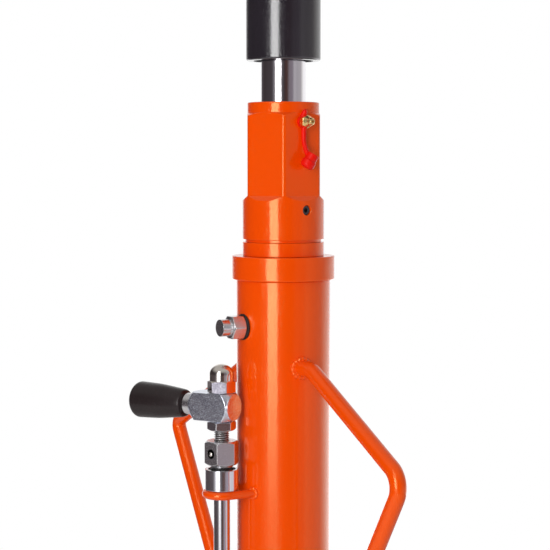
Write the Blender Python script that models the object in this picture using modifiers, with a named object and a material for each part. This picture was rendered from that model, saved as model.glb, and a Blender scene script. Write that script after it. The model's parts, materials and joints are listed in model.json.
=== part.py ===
"""Transmission jack: a single-stage hydraulic column on four castors.

The jack stands on the floor (z = 0) with its column on the Z axis. The foot pump and the
release rod are on the -Y side, and the two lifting handles lie in the XZ plane.
"""

import math

import bmesh
import bpy
from mathutils import Matrix, Vector

# Clearances
SEAT_GAP = 0.0003
RUNNING_GAP = 0.0003
MERGE_DISTANCE = 0.00001

# Nut faces are turned to this share of their flats
CHAMFER_SHARE = 0.95

# Facets
COLUMN_SIDES = 24
ROUND_SIDES = 20
SMALL_SIDES = 12
HEX_SIDES = 6

# Castors
WHEEL_DIAMETER = 0.080
WHEEL_WIDTH = 0.028
RIM_THICKNESS = 0.010
WEB_THICKNESS = 0.010
HUB_WALL = 0.006
AXLE_DIAMETER = 0.010
CASTOR_TRAIL = 0.030
CASTOR_HEIGHT = 0.108
CASTOR_CIRCLE_RADIUS = 0.300
CASTOR_COUNT = 4
FIRST_LEG_ANGLE = 45.0
FORK_PLATE = 0.003
FORK_SIDE_CLEARANCE = 0.003
BEARING_CUP_DIAMETER = 0.046
BEARING_CUP_HEIGHT = 0.016
KINGPIN_DIAMETER = 0.012
KINGPIN_NUT_ACROSS = 0.019
KINGPIN_NUT_HEIGHT = 0.010
KINGPIN_HEAD_HEIGHT = 0.004
AXLE_HEAD_ACROSS = 0.016
AXLE_HEAD_HEIGHT = 0.006

# Legs
LEG_WIDTH = 0.044
LEG_WALL = 0.004
LEG_ROOT_HEIGHT = 0.042
LEG_TIP_HEIGHT = 0.028
GUSSET_THICKNESS = 0.006
GUSSET_HEIGHT = 0.085
GUSSET_REACH = 0.062

# Base block
BLOCK_ACROSS = 0.112
BLOCK_HEIGHT = 0.054
BLOCK_DROP = 0.010
SPIGOT_HEIGHT = 0.008
LUG_THICKNESS = 0.006
LUG_HEIGHT = 0.076
LUG_INSET = 0.001
PLUG_ACROSS = 0.014
PLUG_HEIGHT = 0.007

# Cylinder and reservoir
TUBE_DIAMETER = 0.076
TUBE_WALL = 0.003
TUBE_LENGTH = 0.737
FLANGE_DIAMETER = 0.083
FLANGE_HEIGHT = 0.019
FLANGE_SPIGOT = 0.006
CYLINDER_DIAMETER = 0.050
CYLINDER_BORE = 0.040
COLLAR_DIAMETER = 0.0658
CYLINDER_HEAD_HEIGHT = 0.0105
GROOVE_DIAMETER = 0.0615
GROOVE_HEIGHT = 0.0024
GLAND_COLLAR_HEIGHT = 0.0350
GLAND_HEX_HEIGHT = 0.0662
GLAND_ACROSS = 0.058
GLAND_RING_HEIGHT = 0.0085
GLAND_SPIGOT_DIAMETER = 0.044
GLAND_SPIGOT_LENGTH = 0.022
WIPER_WIDTH = 0.004
WIPER_HEIGHT = 0.005

# Ram
ROD_DIAMETER = 0.036
ROD_SHOWN = 0.0333
PISTON_LENGTH = 0.034
PISTON_SEAL_HEIGHT = 0.008
PISTON_SEAL_DEPTH = 0.004
PISTON_FLOOR_GAP = 0.008

# Saddle socket and saddle
SOCKET_DIAMETER = 0.060
SOCKET_HEIGHT = 0.068
SOCKET_ROD_DEPTH = 0.020
SOCKET_RECESS_DEPTH = 0.002
SADDLE_STEM_DIAMETER = 0.030
SADDLE_STEM_LENGTH = 0.038
SADDLE_DIAMETER = 0.104
SADDLE_THICKNESS = 0.012
CLAW_COUNT = 4
CLAW_WIDTH = 0.018
CLAW_DEPTH = 0.016
CLAW_HEIGHT = 0.024
SADDLE_DISH = 0.004

# Small fittings on the gland and tube
SET_SCREW_DIAMETER = 0.008
SET_SCREW_DEPTH = 0.008
SET_SCREW_ANGLE = 4.0
SET_SCREW_HEIGHT = 0.0237
NIPPLE_DROP = 0.0160
NIPPLE_THREAD = 0.006
NIPPLE_ACROSS = 0.011
NIPPLE_HEX_LENGTH = 0.008
NIPPLE_TIP_LENGTH = 0.0065
NIPPLE_TIP_DIAMETER = 0.0055
CAP_RING_DIAMETER = 0.015
CAP_RING_THICKNESS = 0.0022
CAP_DIAMETER = 0.0115
CAP_LENGTH = 0.0128
CAP_STANDOFF = 0.003
CAP_SIDEWAYS = 0.0012
CAP_HANGS = 0.0311
STRAP_DIAMETER = 0.0034
FILLER_DROP = 0.0370
FILLER_BOSS_DIAMETER = 0.0245
FILLER_BOSS_INNER = 0.0305
FILLER_FACE = 0.0368
FILLER_FACE_DIAMETER = 0.0215
FILLER_THREAD = 0.014
FILLER_THREAD_LENGTH = 0.008
FILLER_WASHER_DIAMETER = 0.0205
FILLER_WASHER_HEIGHT = 0.0018
FILLER_ACROSS = 0.0178
FILLER_HEX_LENGTH = 0.0114
FILLER_NECK_LENGTH = 0.0015
FILLER_CAP_DIAMETER = 0.0137
FILLER_CAP_LENGTH = 0.0070

# Handles
HANDLE_BAR = 0.0128
HANDLE_OFFSET = 0.0056
HANDLE_STUB_REACH = 0.052
HANDLE_REACH = 0.1768
HANDLE_UPPER_DROP = 0.0685
HANDLE_CORNER_DROP = 0.1364
HANDLE_LOWER_DROP = 0.3430
HANDLE_STUB_BEND = 0.014
HANDLE_CORNER_BEND = 0.016

# Release control
RELEASE_OFFSET = 0.0575
RELEASE_ROD_DIAMETER = 0.0130
GUIDE_DROP = 0.1700
GUIDE_BAR = 0.0065
GUIDE_LOOP_RADIUS = 0.0125
BUSH_DIAMETER = 0.0270
BUSH_HEIGHT = 0.0165
BUSH_SEAT_DEPTH = 0.0075
BUSH_RIM = 0.0024
COUPLING_RISE = 0.0036
COUPLING_ACROSS = 0.0246
COUPLING_HEIGHT = 0.0192
COUPLING_NECK_DIAMETER = 0.0165
COUPLING_FLAT_ANGLE = -74.0
CROSS_PIN_DIAMETER = 0.0056
CROSS_PIN_SUNK = 0.0012
STUD_DIAMETER = 0.012
STUD_SHOWN = 0.0084
JAM_NUT_ACROSS = 0.0203
JAM_NUT_HEIGHT = 0.0075
JAM_NUT_FLAT_ANGLE = -22.0
CAP_NUT_FLAT_ANGLE = -41.0
CAP_NUT_HEX_HEIGHT = 0.0095
CAP_NUT_HEIGHT = 0.0228
CAP_NUT_DOME = 0.0194
CAP_NUT_DOME_RISE = 0.0082
LEVER_ANGLE = 208.0
LEVER_BLOCK_SIDE = 0.0222
LEVER_BLOCK_INNER = 0.0122
LEVER_BLOCK_OUTER = 0.0257
LEVER_SPIGOT_DIAMETER = 0.0214
LEVER_SPIGOT_LENGTH = 0.0012
FERRULE_DIAMETER = 0.0172
FERRULE_LENGTH = 0.0070
KNOB_LENGTH = 0.0520
KNOB_WIDE = 0.0295
KNOB_NARROW = 0.0230
VALVE_DIAMETER = 0.016
VALVE_DEPTH = 0.030

# Foot pump
PUMP_OFFSET = 0.137
PLUNGER_DIAMETER = 0.014
PLUNGER_CAP_DIAMETER = 0.025
PLUNGER_CAP_THICKNESS = 0.005
PUMP_THREAD_DIAMETER = 0.024
PUMP_THREAD_DEPTH = 0.015
BARREL_ACROSS = 0.032
BARREL_HEX_HEIGHT = 0.012
BARREL_COLLAR_HEIGHT = 0.007
BARREL_COLLAR_DIAMETER = 0.0265
SPRING_WIRE = 0.0024
SPRING_COIL_DIAMETER = 0.0212
SPRING_TURNS = 5
SPRING_LENGTH = 0.0410
PEDAL_PIN_OFFSET = 0.086
PEDAL_PIN_DIAMETER = 0.010
PEDAL_REST_ANGLE = 14.0
PEDAL_CHEEK_THICKNESS = 0.004
PEDAL_CHEEK_GAP = 0.023
PEDAL_BOSS_RADIUS = 0.011
PEDAL_BAR_DIAMETER = 0.020
PEDAL_BLOCK_LENGTH = 0.010
PEDAL_REACH = 0.176
ROLLER_DIAMETER = 0.018
ROLLER_STANDS_BELOW_CHEEK = 0.0025
PAD_WIDTH = 0.080
PAD_DEPTH = 0.052
PAD_THICKNESS = 0.006
PAD_RIB_COUNT = 5
PAD_RIB_WIDTH = 0.004
PAD_RIB_HEIGHT = 0.002

# Heights up the column, stacked from the floor
LEG_BOTTOM = CASTOR_HEIGHT
BLOCK_BOTTOM = LEG_BOTTOM - BLOCK_DROP
BLOCK_TOP = BLOCK_BOTTOM + BLOCK_HEIGHT
TUBE_BOTTOM = BLOCK_TOP + SEAT_GAP
TUBE_TOP = TUBE_BOTTOM + TUBE_LENGTH
FLANGE_BOTTOM = TUBE_TOP + SEAT_GAP
FLANGE_TOP = FLANGE_BOTTOM + FLANGE_HEIGHT
CYLINDER_BOTTOM = BLOCK_TOP + SPIGOT_HEIGHT + SEAT_GAP
CYLINDER_HEAD_BOTTOM = FLANGE_TOP + SEAT_GAP
CYLINDER_TOP = CYLINDER_HEAD_BOTTOM + CYLINDER_HEAD_HEIGHT
GLAND_BOTTOM = CYLINDER_TOP + SEAT_GAP
GLAND_COLLAR_BOTTOM = GLAND_BOTTOM + GROOVE_HEIGHT
GLAND_HEX_BOTTOM = GLAND_COLLAR_BOTTOM + GLAND_COLLAR_HEIGHT
GLAND_RING_BOTTOM = GLAND_HEX_BOTTOM + GLAND_HEX_HEIGHT
GLAND_TOP = GLAND_RING_BOTTOM + GLAND_RING_HEIGHT
SOCKET_BOTTOM = GLAND_TOP + ROD_SHOWN
SOCKET_TOP = SOCKET_BOTTOM + SOCKET_HEIGHT
SADDLE_BOTTOM = SOCKET_TOP + SEAT_GAP
PISTON_BOTTOM = CYLINDER_BOTTOM + PISTON_FLOOR_GAP
PISTON_TOP = PISTON_BOTTOM + PISTON_LENGTH

TUBE_RADIUS = TUBE_DIAMETER / 2
TUBE_BORE_RADIUS = TUBE_RADIUS - TUBE_WALL
ROD_RADIUS = ROD_DIAMETER / 2

GUIDE_HEIGHT = TUBE_TOP - GUIDE_DROP
BUSH_BOTTOM = GUIDE_HEIGHT + GUIDE_BAR / 2 + SEAT_GAP
BUSH_TOP = BUSH_BOTTOM + BUSH_HEIGHT
COUPLING_BOTTOM = BUSH_TOP + COUPLING_RISE
COUPLING_TOP = COUPLING_BOTTOM + COUPLING_HEIGHT
JAM_NUT_BOTTOM = COUPLING_TOP + STUD_SHOWN
LEVER_BOTTOM = JAM_NUT_BOTTOM + JAM_NUT_HEIGHT + SEAT_GAP
LEVER_CENTRE = LEVER_BOTTOM + LEVER_BLOCK_SIDE / 2
CAP_NUT_BOTTOM = LEVER_BOTTOM + LEVER_BLOCK_SIDE + SEAT_GAP

# The pedal's rest height leaves the spring its working length above the pump barrel
BARREL_TOP = BLOCK_TOP + SEAT_GAP + BARREL_HEX_HEIGHT + BARREL_COLLAR_HEIGHT
PLUNGER_CAP_BOTTOM = BARREL_TOP + SPRING_LENGTH + 2 * SEAT_GAP
PLUNGER_TOP = PLUNGER_CAP_BOTTOM + PLUNGER_CAP_THICKNESS
ROLLER_HEIGHT = PLUNGER_TOP + SEAT_GAP + ROLLER_DIAMETER / 2
PEDAL_SLOPE = math.radians(PEDAL_REST_ANGLE)
PEDAL_PIN_HEIGHT = ROLLER_HEIGHT - (PUMP_OFFSET - PEDAL_PIN_OFFSET) * math.tan(PEDAL_SLOPE)
ROLLER_ARM = (PUMP_OFFSET - PEDAL_PIN_OFFSET) / math.cos(PEDAL_SLOPE)

ORANGE_PAINT = ("orange_paint", (0.83, 0.10, 0.005), 0.25, 0.0)
BLACK_PAINT = ("black_gloss_paint", (0.012, 0.012, 0.013), 0.15, 0.0)
CHROME = ("hard_chrome", (0.80, 0.80, 0.82), 0.08, 1.0)
ZINC = ("zinc_plated_steel", (0.55, 0.55, 0.56), 0.30, 1.0)
BRASS = ("brass", (0.75, 0.52, 0.20), 0.25, 1.0)
RED_PLASTIC = ("red_plastic", (0.75, 0.01, 0.01), 0.40, 0.0)
BLACK_RUBBER = ("black_rubber", (0.015, 0.014, 0.014), 0.60, 0.0)
GREY_NYLON = ("grey_nylon", (0.10, 0.10, 0.11), 0.50, 0.0)
BLACK_PLASTIC = ("black_knob_plastic", (0.020, 0.016, 0.015), 0.45, 0.0)

parts = None
cutters = None


def new_collection(name):
    """Make a collection in the scene."""
    collection = bpy.data.collections.new(name)
    bpy.context.scene.collection.children.link(collection)
    return collection


def paint(obj, look):
    """Give an object its own material."""
    look_name, colour, roughness, metallic = look
    material = bpy.data.materials.new(f"{obj.name}_{look_name}")
    material.use_nodes = True
    shader = material.node_tree.nodes["Principled BSDF"]
    shader.inputs["Base Color"].default_value = (*colour, 1.0)
    shader.inputs["Roughness"].default_value = roughness
    shader.inputs["Metallic"].default_value = metallic
    obj.data.materials.clear()
    obj.data.materials.append(material)


def smooth(mesh):
    """Shade a round piece smooth, with its real edges kept sharp."""
    mesh.shade_smooth()
    mesh.set_sharp_from_angle(angle=math.radians(30))


def link_mesh(name, mesh):
    """Put a mesh in the parts' collection as a new object."""
    obj = bpy.data.objects.new(name, mesh)
    parts.objects.link(obj)
    return obj


def turned(name, profile, sides=SMALL_SIDES, ring=False):
    """Turn (radius, height) points about Z; they run down the outer side, top to bottom."""
    points = [(radius, 0.0, height) for radius, height in profile]
    edges = [(index, index + 1) for index in range(len(points) - 1)]
    if ring:
        edges.append((len(points) - 1, 0))
    mesh = bpy.data.meshes.new(name)
    mesh.from_pydata(points, edges, [])
    obj = link_mesh(name, mesh)
    screw = obj.modifiers.new("turn", "SCREW")
    screw.steps = sides
    screw.render_steps = sides
    screw.use_merge_vertices = True
    screw.merge_threshold = MERGE_DISTANCE
    settle(obj)
    return obj


def settle(obj):
    """Turn an object's modifiers, or its curve, into a plain closed mesh."""
    graph = bpy.context.evaluated_depsgraph_get()
    mesh = bpy.data.meshes.new_from_object(obj.evaluated_get(graph))
    obj.modifiers.clear()
    work = bmesh.new()
    work.from_mesh(mesh)
    bmesh.ops.remove_doubles(work, verts=work.verts, dist=MERGE_DISTANCE)
    work.to_mesh(mesh)
    work.free()
    smooth(mesh)
    mesh.name = obj.name
    obj.data = mesh


def boolean(obj, other, operation):
    """Cut, join or intersect an object with another, which is then kept as a hidden guide."""
    modifier = obj.modifiers.new(operation.lower(), "BOOLEAN")
    modifier.operation = operation
    modifier.object = other
    modifier.solver = "EXACT"
    bpy.context.view_layer.update()
    settle(obj)
    if cutters.objects.get(other.name) is None:
        cutters.objects.link(other)
        parts.objects.unlink(other)
    other.hide_render = True
    other.display_type = "WIRE"


def cylinder(name, radius, bottom, top, sides=SMALL_SIDES):
    """A plain round bar about Z between two heights."""
    work = bmesh.new()
    bmesh.ops.create_cone(
        work,
        cap_ends=True,
        segments=sides,
        radius1=radius,
        radius2=radius,
        depth=top - bottom,
        matrix=Matrix.Translation((0, 0, (top + bottom) / 2)),
    )
    mesh = bpy.data.meshes.new(name)
    work.to_mesh(mesh)
    work.free()
    smooth(mesh)
    return link_mesh(name, mesh)


def box(name, low, high):
    """A plain block between two corners."""
    size = Vector(high) - Vector(low)
    centre = (Vector(high) + Vector(low)) / 2
    work = bmesh.new()
    bmesh.ops.create_cube(work, size=1.0, matrix=Matrix.Translation(centre) @ Matrix.Diagonal((*size, 1.0)))
    mesh = bpy.data.meshes.new(name)
    work.to_mesh(mesh)
    work.free()
    return link_mesh(name, mesh)


def flat_plate(name, outline, thickness, plane="XY"):
    """Extrude a closed outline, centred on its plane, as a flat curve with thickness."""
    curve = bpy.data.curves.new(name, "CURVE")
    curve.dimensions = "2D"
    curve.fill_mode = "BOTH"
    curve.extrude = thickness / 2
    spline = curve.splines.new("POLY")
    spline.points.add(len(outline) - 1)
    for point, (across, up) in zip(spline.points, outline):
        point.co = (across, up, 0.0, 1.0)
    spline.use_cyclic_u = True
    obj = bpy.data.objects.new(name, curve)
    parts.objects.link(obj)
    mesh = mesh_of_curve(obj)
    turns = {
        "XY": Matrix.Identity(4),
        "XZ": Matrix.Rotation(math.radians(90), 4, "X"),
        "YZ": Matrix.Rotation(math.radians(90), 4, "Z") @ Matrix.Rotation(math.radians(90), 4, "X"),
    }
    mesh.transform(turns[plane])
    return link_mesh(name, mesh)


def mesh_of_curve(obj):
    """Turn a curve object into a welded mesh and remove the curve."""
    bpy.context.view_layer.update()
    graph = bpy.context.evaluated_depsgraph_get()
    mesh = bpy.data.meshes.new_from_object(obj.evaluated_get(graph))
    work = bmesh.new()
    work.from_mesh(mesh)
    bmesh.ops.remove_doubles(work, verts=work.verts, dist=MERGE_DISTANCE)
    bmesh.ops.recalc_face_normals(work, faces=work.faces)
    work.to_mesh(mesh)
    work.free()
    name = obj.name
    bpy.data.objects.remove(obj)
    mesh.name = name
    return mesh


def bar(name, points, radius, resolution=3):
    """A round bar along a path of points, with closed ends."""
    curve = bpy.data.curves.new(name, "CURVE")
    curve.dimensions = "3D"
    curve.bevel_depth = radius
    curve.bevel_resolution = resolution
    curve.use_fill_caps = True
    spline = curve.splines.new("POLY")
    spline.points.add(len(points) - 1)
    for point, place in zip(spline.points, points):
        point.co = (*place, 1.0)
    obj = bpy.data.objects.new(name, curve)
    parts.objects.link(obj)
    mesh = mesh_of_curve(obj)
    smooth(mesh)
    return link_mesh(name, mesh)


def bent_path(corners, bend_radii, steps=6):
    """Points along straight runs whose inner corners are bent to the given radii."""
    corners = [Vector(corner) for corner in corners]
    path = [corners[0]]
    for index, bend in enumerate(bend_radii, start=1):
        corner = corners[index]
        back = (corners[index - 1] - corner).normalized()
        ahead = (corners[index + 1] - corner).normalized()
        half = back.angle(ahead) / 2
        setback = bend / math.tan(half)
        centre = corner + (back + ahead).normalized() * (bend / math.sin(half))
        start = corner + back * setback - centre
        end = corner + ahead * setback - centre
        sweep = start.angle(end)
        for step in range(steps + 1):
            share = step / steps
            blend = start * math.sin(sweep * (1 - share)) + end * math.sin(sweep * share)
            path.append(centre + blend / math.sin(sweep))
    path.append(corners[-1])
    return path


def arc(centre, radius, start, end, steps):
    """Points on an arc in a plane, angles in degrees."""
    angles = [math.radians(start + (end - start) * step / steps) for step in range(steps + 1)]
    return [(centre[0] + radius * math.cos(a), centre[1] + radius * math.sin(a)) for a in angles]


def hex_radius(across_flats):
    """The corner radius of a hexagon."""
    return across_flats / math.sqrt(3)


def hex_with_round(name, across, bottom, top, round_profile, flat_angle=0.0, ring=False):
    """A turned body with a hexagon cut on it: the two shapes' common part."""
    obj = turned(name, round_profile, ring=ring)
    prism = cylinder(f"{name}_hexagon", hex_radius(across), bottom, top, HEX_SIDES)
    boolean(obj, prism, "INTERSECT")
    return moved(obj, Matrix.Rotation(math.radians(flat_angle), 4, "Z"))


def chamfered_nut(name, across, bottom, top, bore_radius, flat_angle):
    """A hexagon nut with a turned chamfer on both ends and a plain hole."""
    corner = hex_radius(across)
    face = across / 2 * CHAMFER_SHARE
    cone = (corner - face) * math.tan(math.radians(30))
    profile = [
        (face, top),
        (corner, top - cone),
        (corner, bottom + cone),
        (face, bottom),
        (bore_radius, bottom),
        (bore_radius, top),
    ]
    margin = across
    return hex_with_round(name, across, bottom - margin, top + margin, profile, flat_angle, ring=True)


def place(obj, location, angle=0.0):
    """Set an object's place and its turn about Z."""
    obj.location = location
    obj.rotation_euler = (0, 0, math.radians(angle))


def moved(obj, matrix):
    """Move a mesh inside its object."""
    obj.data.transform(matrix)
    return obj


def fuse(obj, others):
    """Join touching shapes into one body."""
    for other in others:
        boolean(obj, other, "UNION")
    return obj


# Reservoir, cylinder and gland


def make_reservoir_tube():
    """The outer tube. The filler's boss is welded inside its -Y side, and the face that the
    washer seats on is spot-faced into the wall."""
    profile = [
        (TUBE_RADIUS, TUBE_TOP),
        (TUBE_RADIUS, TUBE_BOTTOM),
        (TUBE_BORE_RADIUS, TUBE_BOTTOM),
        (TUBE_BORE_RADIUS, TUBE_TOP),
    ]
    tube = turned("reservoir_tube", profile, COLUMN_SIDES, ring=True)
    boss_outer = TUBE_BORE_RADIUS + TUBE_WALL / 6
    boss = cylinder("filler_boss", FILLER_BOSS_DIAMETER / 2, FILLER_BOSS_INNER, boss_outer)
    fuse(tube, [moved(boss, filler_axis())])
    outside = TUBE_RADIUS + TUBE_WALL
    spot = cylinder("filler_face", FILLER_FACE_DIAMETER / 2, FILLER_FACE, outside)
    boolean(tube, moved(spot, filler_axis()), "DIFFERENCE")
    inside = FILLER_BOSS_INNER - TUBE_WALL
    hole = cylinder("filler_hole", FILLER_THREAD / 2 + SEAT_GAP, inside, outside)
    boolean(tube, moved(hole, filler_axis()), "DIFFERENCE")
    paint(tube, ORANGE_PAINT)


def filler_axis():
    """The filler's axis, level and out of the tube's -Y side."""
    height = TUBE_TOP - FILLER_DROP
    return Matrix.Translation((0, 0, height)) @ Matrix.Rotation(math.radians(90), 4, "X")


def make_top_flange():
    """The ring that closes the reservoir and holds the cylinder."""
    edge = 0.001
    outer = FLANGE_DIAMETER / 2
    spigot = TUBE_BORE_RADIUS - SEAT_GAP
    bore = CYLINDER_DIAMETER / 2 + SEAT_GAP
    profile = [
        (outer - edge, FLANGE_TOP),
        (outer, FLANGE_TOP - edge),
        (outer, FLANGE_BOTTOM + edge),
        (outer - edge, FLANGE_BOTTOM),
        (spigot, FLANGE_BOTTOM),
        (spigot, FLANGE_BOTTOM - FLANGE_SPIGOT),
        (bore, FLANGE_BOTTOM - FLANGE_SPIGOT),
        (bore, FLANGE_TOP),
    ]
    flange = turned("top_flange_ring", profile, COLUMN_SIDES, ring=True)
    paint(flange, ORANGE_PAINT)


def make_inner_cylinder():
    """The pressure cylinder, with its head above the flange."""
    edge = 0.0008
    head = COLLAR_DIAMETER / 2
    body = CYLINDER_DIAMETER / 2
    bore = CYLINDER_BORE / 2
    seat = GLAND_SPIGOT_DIAMETER / 2
    seat_bottom = GLAND_BOTTOM - GLAND_SPIGOT_LENGTH - SEAT_GAP
    profile = [
        (head - edge, CYLINDER_TOP),
        (head, CYLINDER_TOP - edge),
        (head, CYLINDER_HEAD_BOTTOM),
        (body, CYLINDER_HEAD_BOTTOM),
        (body, CYLINDER_BOTTOM),
        (bore, CYLINDER_BOTTOM),
        (bore, seat_bottom),
        (seat, seat_bottom),
        (seat, CYLINDER_TOP),
    ]
    cylinder_body = turned("inner_cylinder", profile, COLUMN_SIDES, ring=True)
    paint(cylinder_body, ORANGE_PAINT)


def make_gland():
    """The hexagon gland nut that guides the ram and closes the cylinder."""
    edge = 0.0012
    collar = COLLAR_DIAMETER / 2
    ring = GLAND_ACROSS / 2
    corner = hex_radius(GLAND_ACROSS)
    flare = corner * 1.2
    guide = ROD_RADIUS + RUNNING_GAP
    wiper = guide + WIPER_WIDTH
    spigot = GLAND_SPIGOT_DIAMETER / 2 - SEAT_GAP
    top_cone = (collar - ring) * math.tan(math.radians(30))
    profile = [
        (ring - edge, GLAND_TOP),
        (ring, GLAND_TOP - edge),
        (ring, GLAND_RING_BOTTOM),
        (collar, GLAND_RING_BOTTOM - top_cone),
        (collar, GLAND_COLLAR_BOTTOM),
        (GROOVE_DIAMETER / 2, GLAND_COLLAR_BOTTOM),
        (GROOVE_DIAMETER / 2, GLAND_BOTTOM),
        (spigot, GLAND_BOTTOM),
        (spigot, GLAND_BOTTOM - GLAND_SPIGOT_LENGTH),
        (guide, GLAND_BOTTOM - GLAND_SPIGOT_LENGTH),
        (guide, GLAND_TOP - WIPER_HEIGHT),
        (wiper, GLAND_TOP - WIPER_HEIGHT),
        (wiper, GLAND_TOP),
    ]
    gland = turned("gland_nut", profile, COLUMN_SIDES, ring=True)
    # The flats run out at 45 degrees into the collar below them.
    run_out = flare * math.cos(math.radians(30)) - ring
    below = GLAND_BOTTOM - 2 * GLAND_SPIGOT_LENGTH
    flats = turned(
        "gland_flats",
        [
            (0, GLAND_TOP + GLAND_RING_HEIGHT),
            (corner, GLAND_TOP + GLAND_RING_HEIGHT),
            (corner, GLAND_HEX_BOTTOM),
            (flare, GLAND_HEX_BOTTOM - run_out),
            (flare, below),
            (0, below),
        ],
        HEX_SIDES,
    )
    moved(flats, Matrix.Rotation(math.radians(30), 4, "Z"))
    boolean(gland, flats, "INTERSECT")
    screw_height = GLAND_COLLAR_BOTTOM + SET_SCREW_HEIGHT
    outward = Matrix.Translation((0, 0, screw_height))
    outward = outward @ Matrix.Rotation(math.radians(SET_SCREW_ANGLE), 4, "Z")
    outward = outward @ Matrix.Rotation(math.radians(90), 4, "Y")
    screw_hole = cylinder(
        "set_screw_hole", SET_SCREW_DIAMETER / 2, collar - SET_SCREW_DEPTH, collar + SET_SCREW_DEPTH
    )
    moved(screw_hole, outward)
    boolean(gland, screw_hole, "DIFFERENCE")
    nipple_hole = cylinder(
        "nipple_hole", NIPPLE_THREAD / 2 + SEAT_GAP, ring - NIPPLE_HEX_LENGTH, ring + NIPPLE_HEX_LENGTH
    )
    moved(nipple_hole, nipple_axis())
    boolean(gland, nipple_hole, "DIFFERENCE")
    paint(gland, ORANGE_PAINT)
    make_wiper(guide, wiper)
    make_set_screw(outward, collar)


def make_wiper(guide, wiper):
    """The wiper ring that keeps dirt off the ram."""
    lip = GLAND_TOP
    bottom = GLAND_TOP - WIPER_HEIGHT + SEAT_GAP
    profile = [
        (wiper - SEAT_GAP, lip),
        (wiper - SEAT_GAP, bottom),
        (guide, bottom),
        (guide, lip),
    ]
    ring = turned("gland_wiper_seal", profile, COLUMN_SIDES, ring=True)
    paint(ring, BLACK_RUBBER)


def make_set_screw(outward, collar):
    """The socket set screw that locks the gland, sunk just under the collar's surface."""
    length = SET_SCREW_DEPTH * 0.75
    socket = SET_SCREW_DIAMETER / 4
    inner = collar - SET_SCREW_DEPTH + SEAT_GAP
    radius = SET_SCREW_DIAMETER / 2 - SEAT_GAP
    screw = cylinder("gland_set_screw", radius, inner, inner + length)
    socket_cut = cylinder("set_screw_socket", socket, inner + length / 2, inner + 2 * length, HEX_SIDES)
    boolean(screw, socket_cut, "DIFFERENCE")
    moved(screw, outward)
    paint(screw, BLACK_PAINT)


def nipple_axis():
    """The bleed nipple's axis, out of the flat on the +X side."""
    height = GLAND_TOP - NIPPLE_DROP
    return Matrix.Translation((0, 0, height)) @ Matrix.Rotation(math.radians(90), 4, "Y")


def make_bleed_nipple():
    """The brass bleed nipple: thread, hexagon, and a conical tip with a hole."""
    flat = GLAND_ACROSS / 2
    hex_start = flat + 2 * SEAT_GAP + CAP_RING_THICKNESS + SEAT_GAP
    hex_end = hex_start + NIPPLE_HEX_LENGTH
    tip_end = hex_end + NIPPLE_TIP_LENGTH
    corner = hex_radius(NIPPLE_ACROSS)
    tip = NIPPLE_TIP_DIAMETER / 2
    hole = tip / 3
    hole_depth = NIPPLE_TIP_LENGTH / 2
    waist = tip * 0.8
    profile = [
        (0, tip_end - hole_depth),
        (hole, tip_end - hole_depth),
        (hole, tip_end),
        (tip * 0.75, tip_end),
        (tip, tip_end - NIPPLE_TIP_LENGTH * 0.3),
        (waist, tip_end - NIPPLE_TIP_LENGTH * 0.5),
        (corner * 0.82, hex_end),
        (corner, hex_end - corner * 0.1),
        (corner, hex_start),
        (NIPPLE_THREAD / 2, hex_start),
        (NIPPLE_THREAD / 2, flat - NIPPLE_HEX_LENGTH + SEAT_GAP),
        (0, flat - NIPPLE_HEX_LENGTH + SEAT_GAP),
    ]
    nipple = hex_with_round("bleed_nipple", NIPPLE_ACROSS, 0.0, 2 * tip_end, profile)
    moved(nipple, nipple_axis())
    paint(nipple, BRASS)


def make_dust_cap():
    """The red dust cap, hanging by its strap from the ring behind the nipple's hexagon."""
    flat = GLAND_ACROSS / 2
    ring_radius = CAP_RING_DIAMETER / 2
    hole_radius = NIPPLE_THREAD / 2 + SEAT_GAP
    ring_start = flat + SEAT_GAP
    ring = turned(
        "nipple_dust_cap",
        [
            (ring_radius, ring_start + CAP_RING_THICKNESS),
            (ring_radius, ring_start),
            (hole_radius, ring_start),
            (hole_radius, ring_start + CAP_RING_THICKNESS),
        ],
        ring=True,
    )
    moved(ring, nipple_axis())
    height = GLAND_TOP - NIPPLE_DROP
    out = ring_start + STRAP_DIAMETER / 2
    cap_centre = Vector((flat + CAP_DIAMETER / 2 + CAP_STANDOFF, CAP_SIDEWAYS, height - CAP_HANGS))
    strap_path = bent_path(
        [
            (out, 0.0, height - ring_radius + SEAT_GAP * 2),
            (out, 0.0, height - ring_radius - 0.008),
            (cap_centre.x, cap_centre.y, cap_centre.z),
        ],
        [0.012],
        4,
    )
    strap = bar("dust_cap_strap", strap_path, STRAP_DIAMETER / 2, 1)
    radius = CAP_DIAMETER / 2
    wall = radius * 0.28
    rim = 0.0008
    neck = radius * 0.86
    cap = turned(
        "dust_cap_body",
        [
            (0, CAP_LENGTH / 2),
            (neck, CAP_LENGTH / 2),
            (neck, CAP_LENGTH * 0.08),
            (radius, CAP_LENGTH * 0.02),
            (radius, -CAP_LENGTH / 2 + radius * 0.45),
            (radius * 0.8, -CAP_LENGTH / 2 + rim),
            (0, -CAP_LENGTH / 2),
        ],
    )
    lean = Matrix.Rotation(math.radians(-28), 4, "X") @ Matrix.Rotation(math.radians(12), 4, "Y")
    moved(cap, Matrix.Translation(cap_centre) @ lean)
    mouth = cylinder("dust_cap_mouth", neck - wall, 0.0, CAP_LENGTH)
    moved(mouth, Matrix.Translation(cap_centre) @ lean)
    tab = box(
        "dust_cap_tab",
        (ring_start, -STRAP_DIAMETER / 2, height + ring_radius * 0.8),
        (ring_start + CAP_RING_THICKNESS, STRAP_DIAMETER / 2, height + ring_radius + 0.004),
    )
    fuse(cap, [strap])
    boolean(cap, mouth, "DIFFERENCE")
    fuse(ring, [tab, cap])
    paint(ring, RED_PLASTIC)


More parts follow.
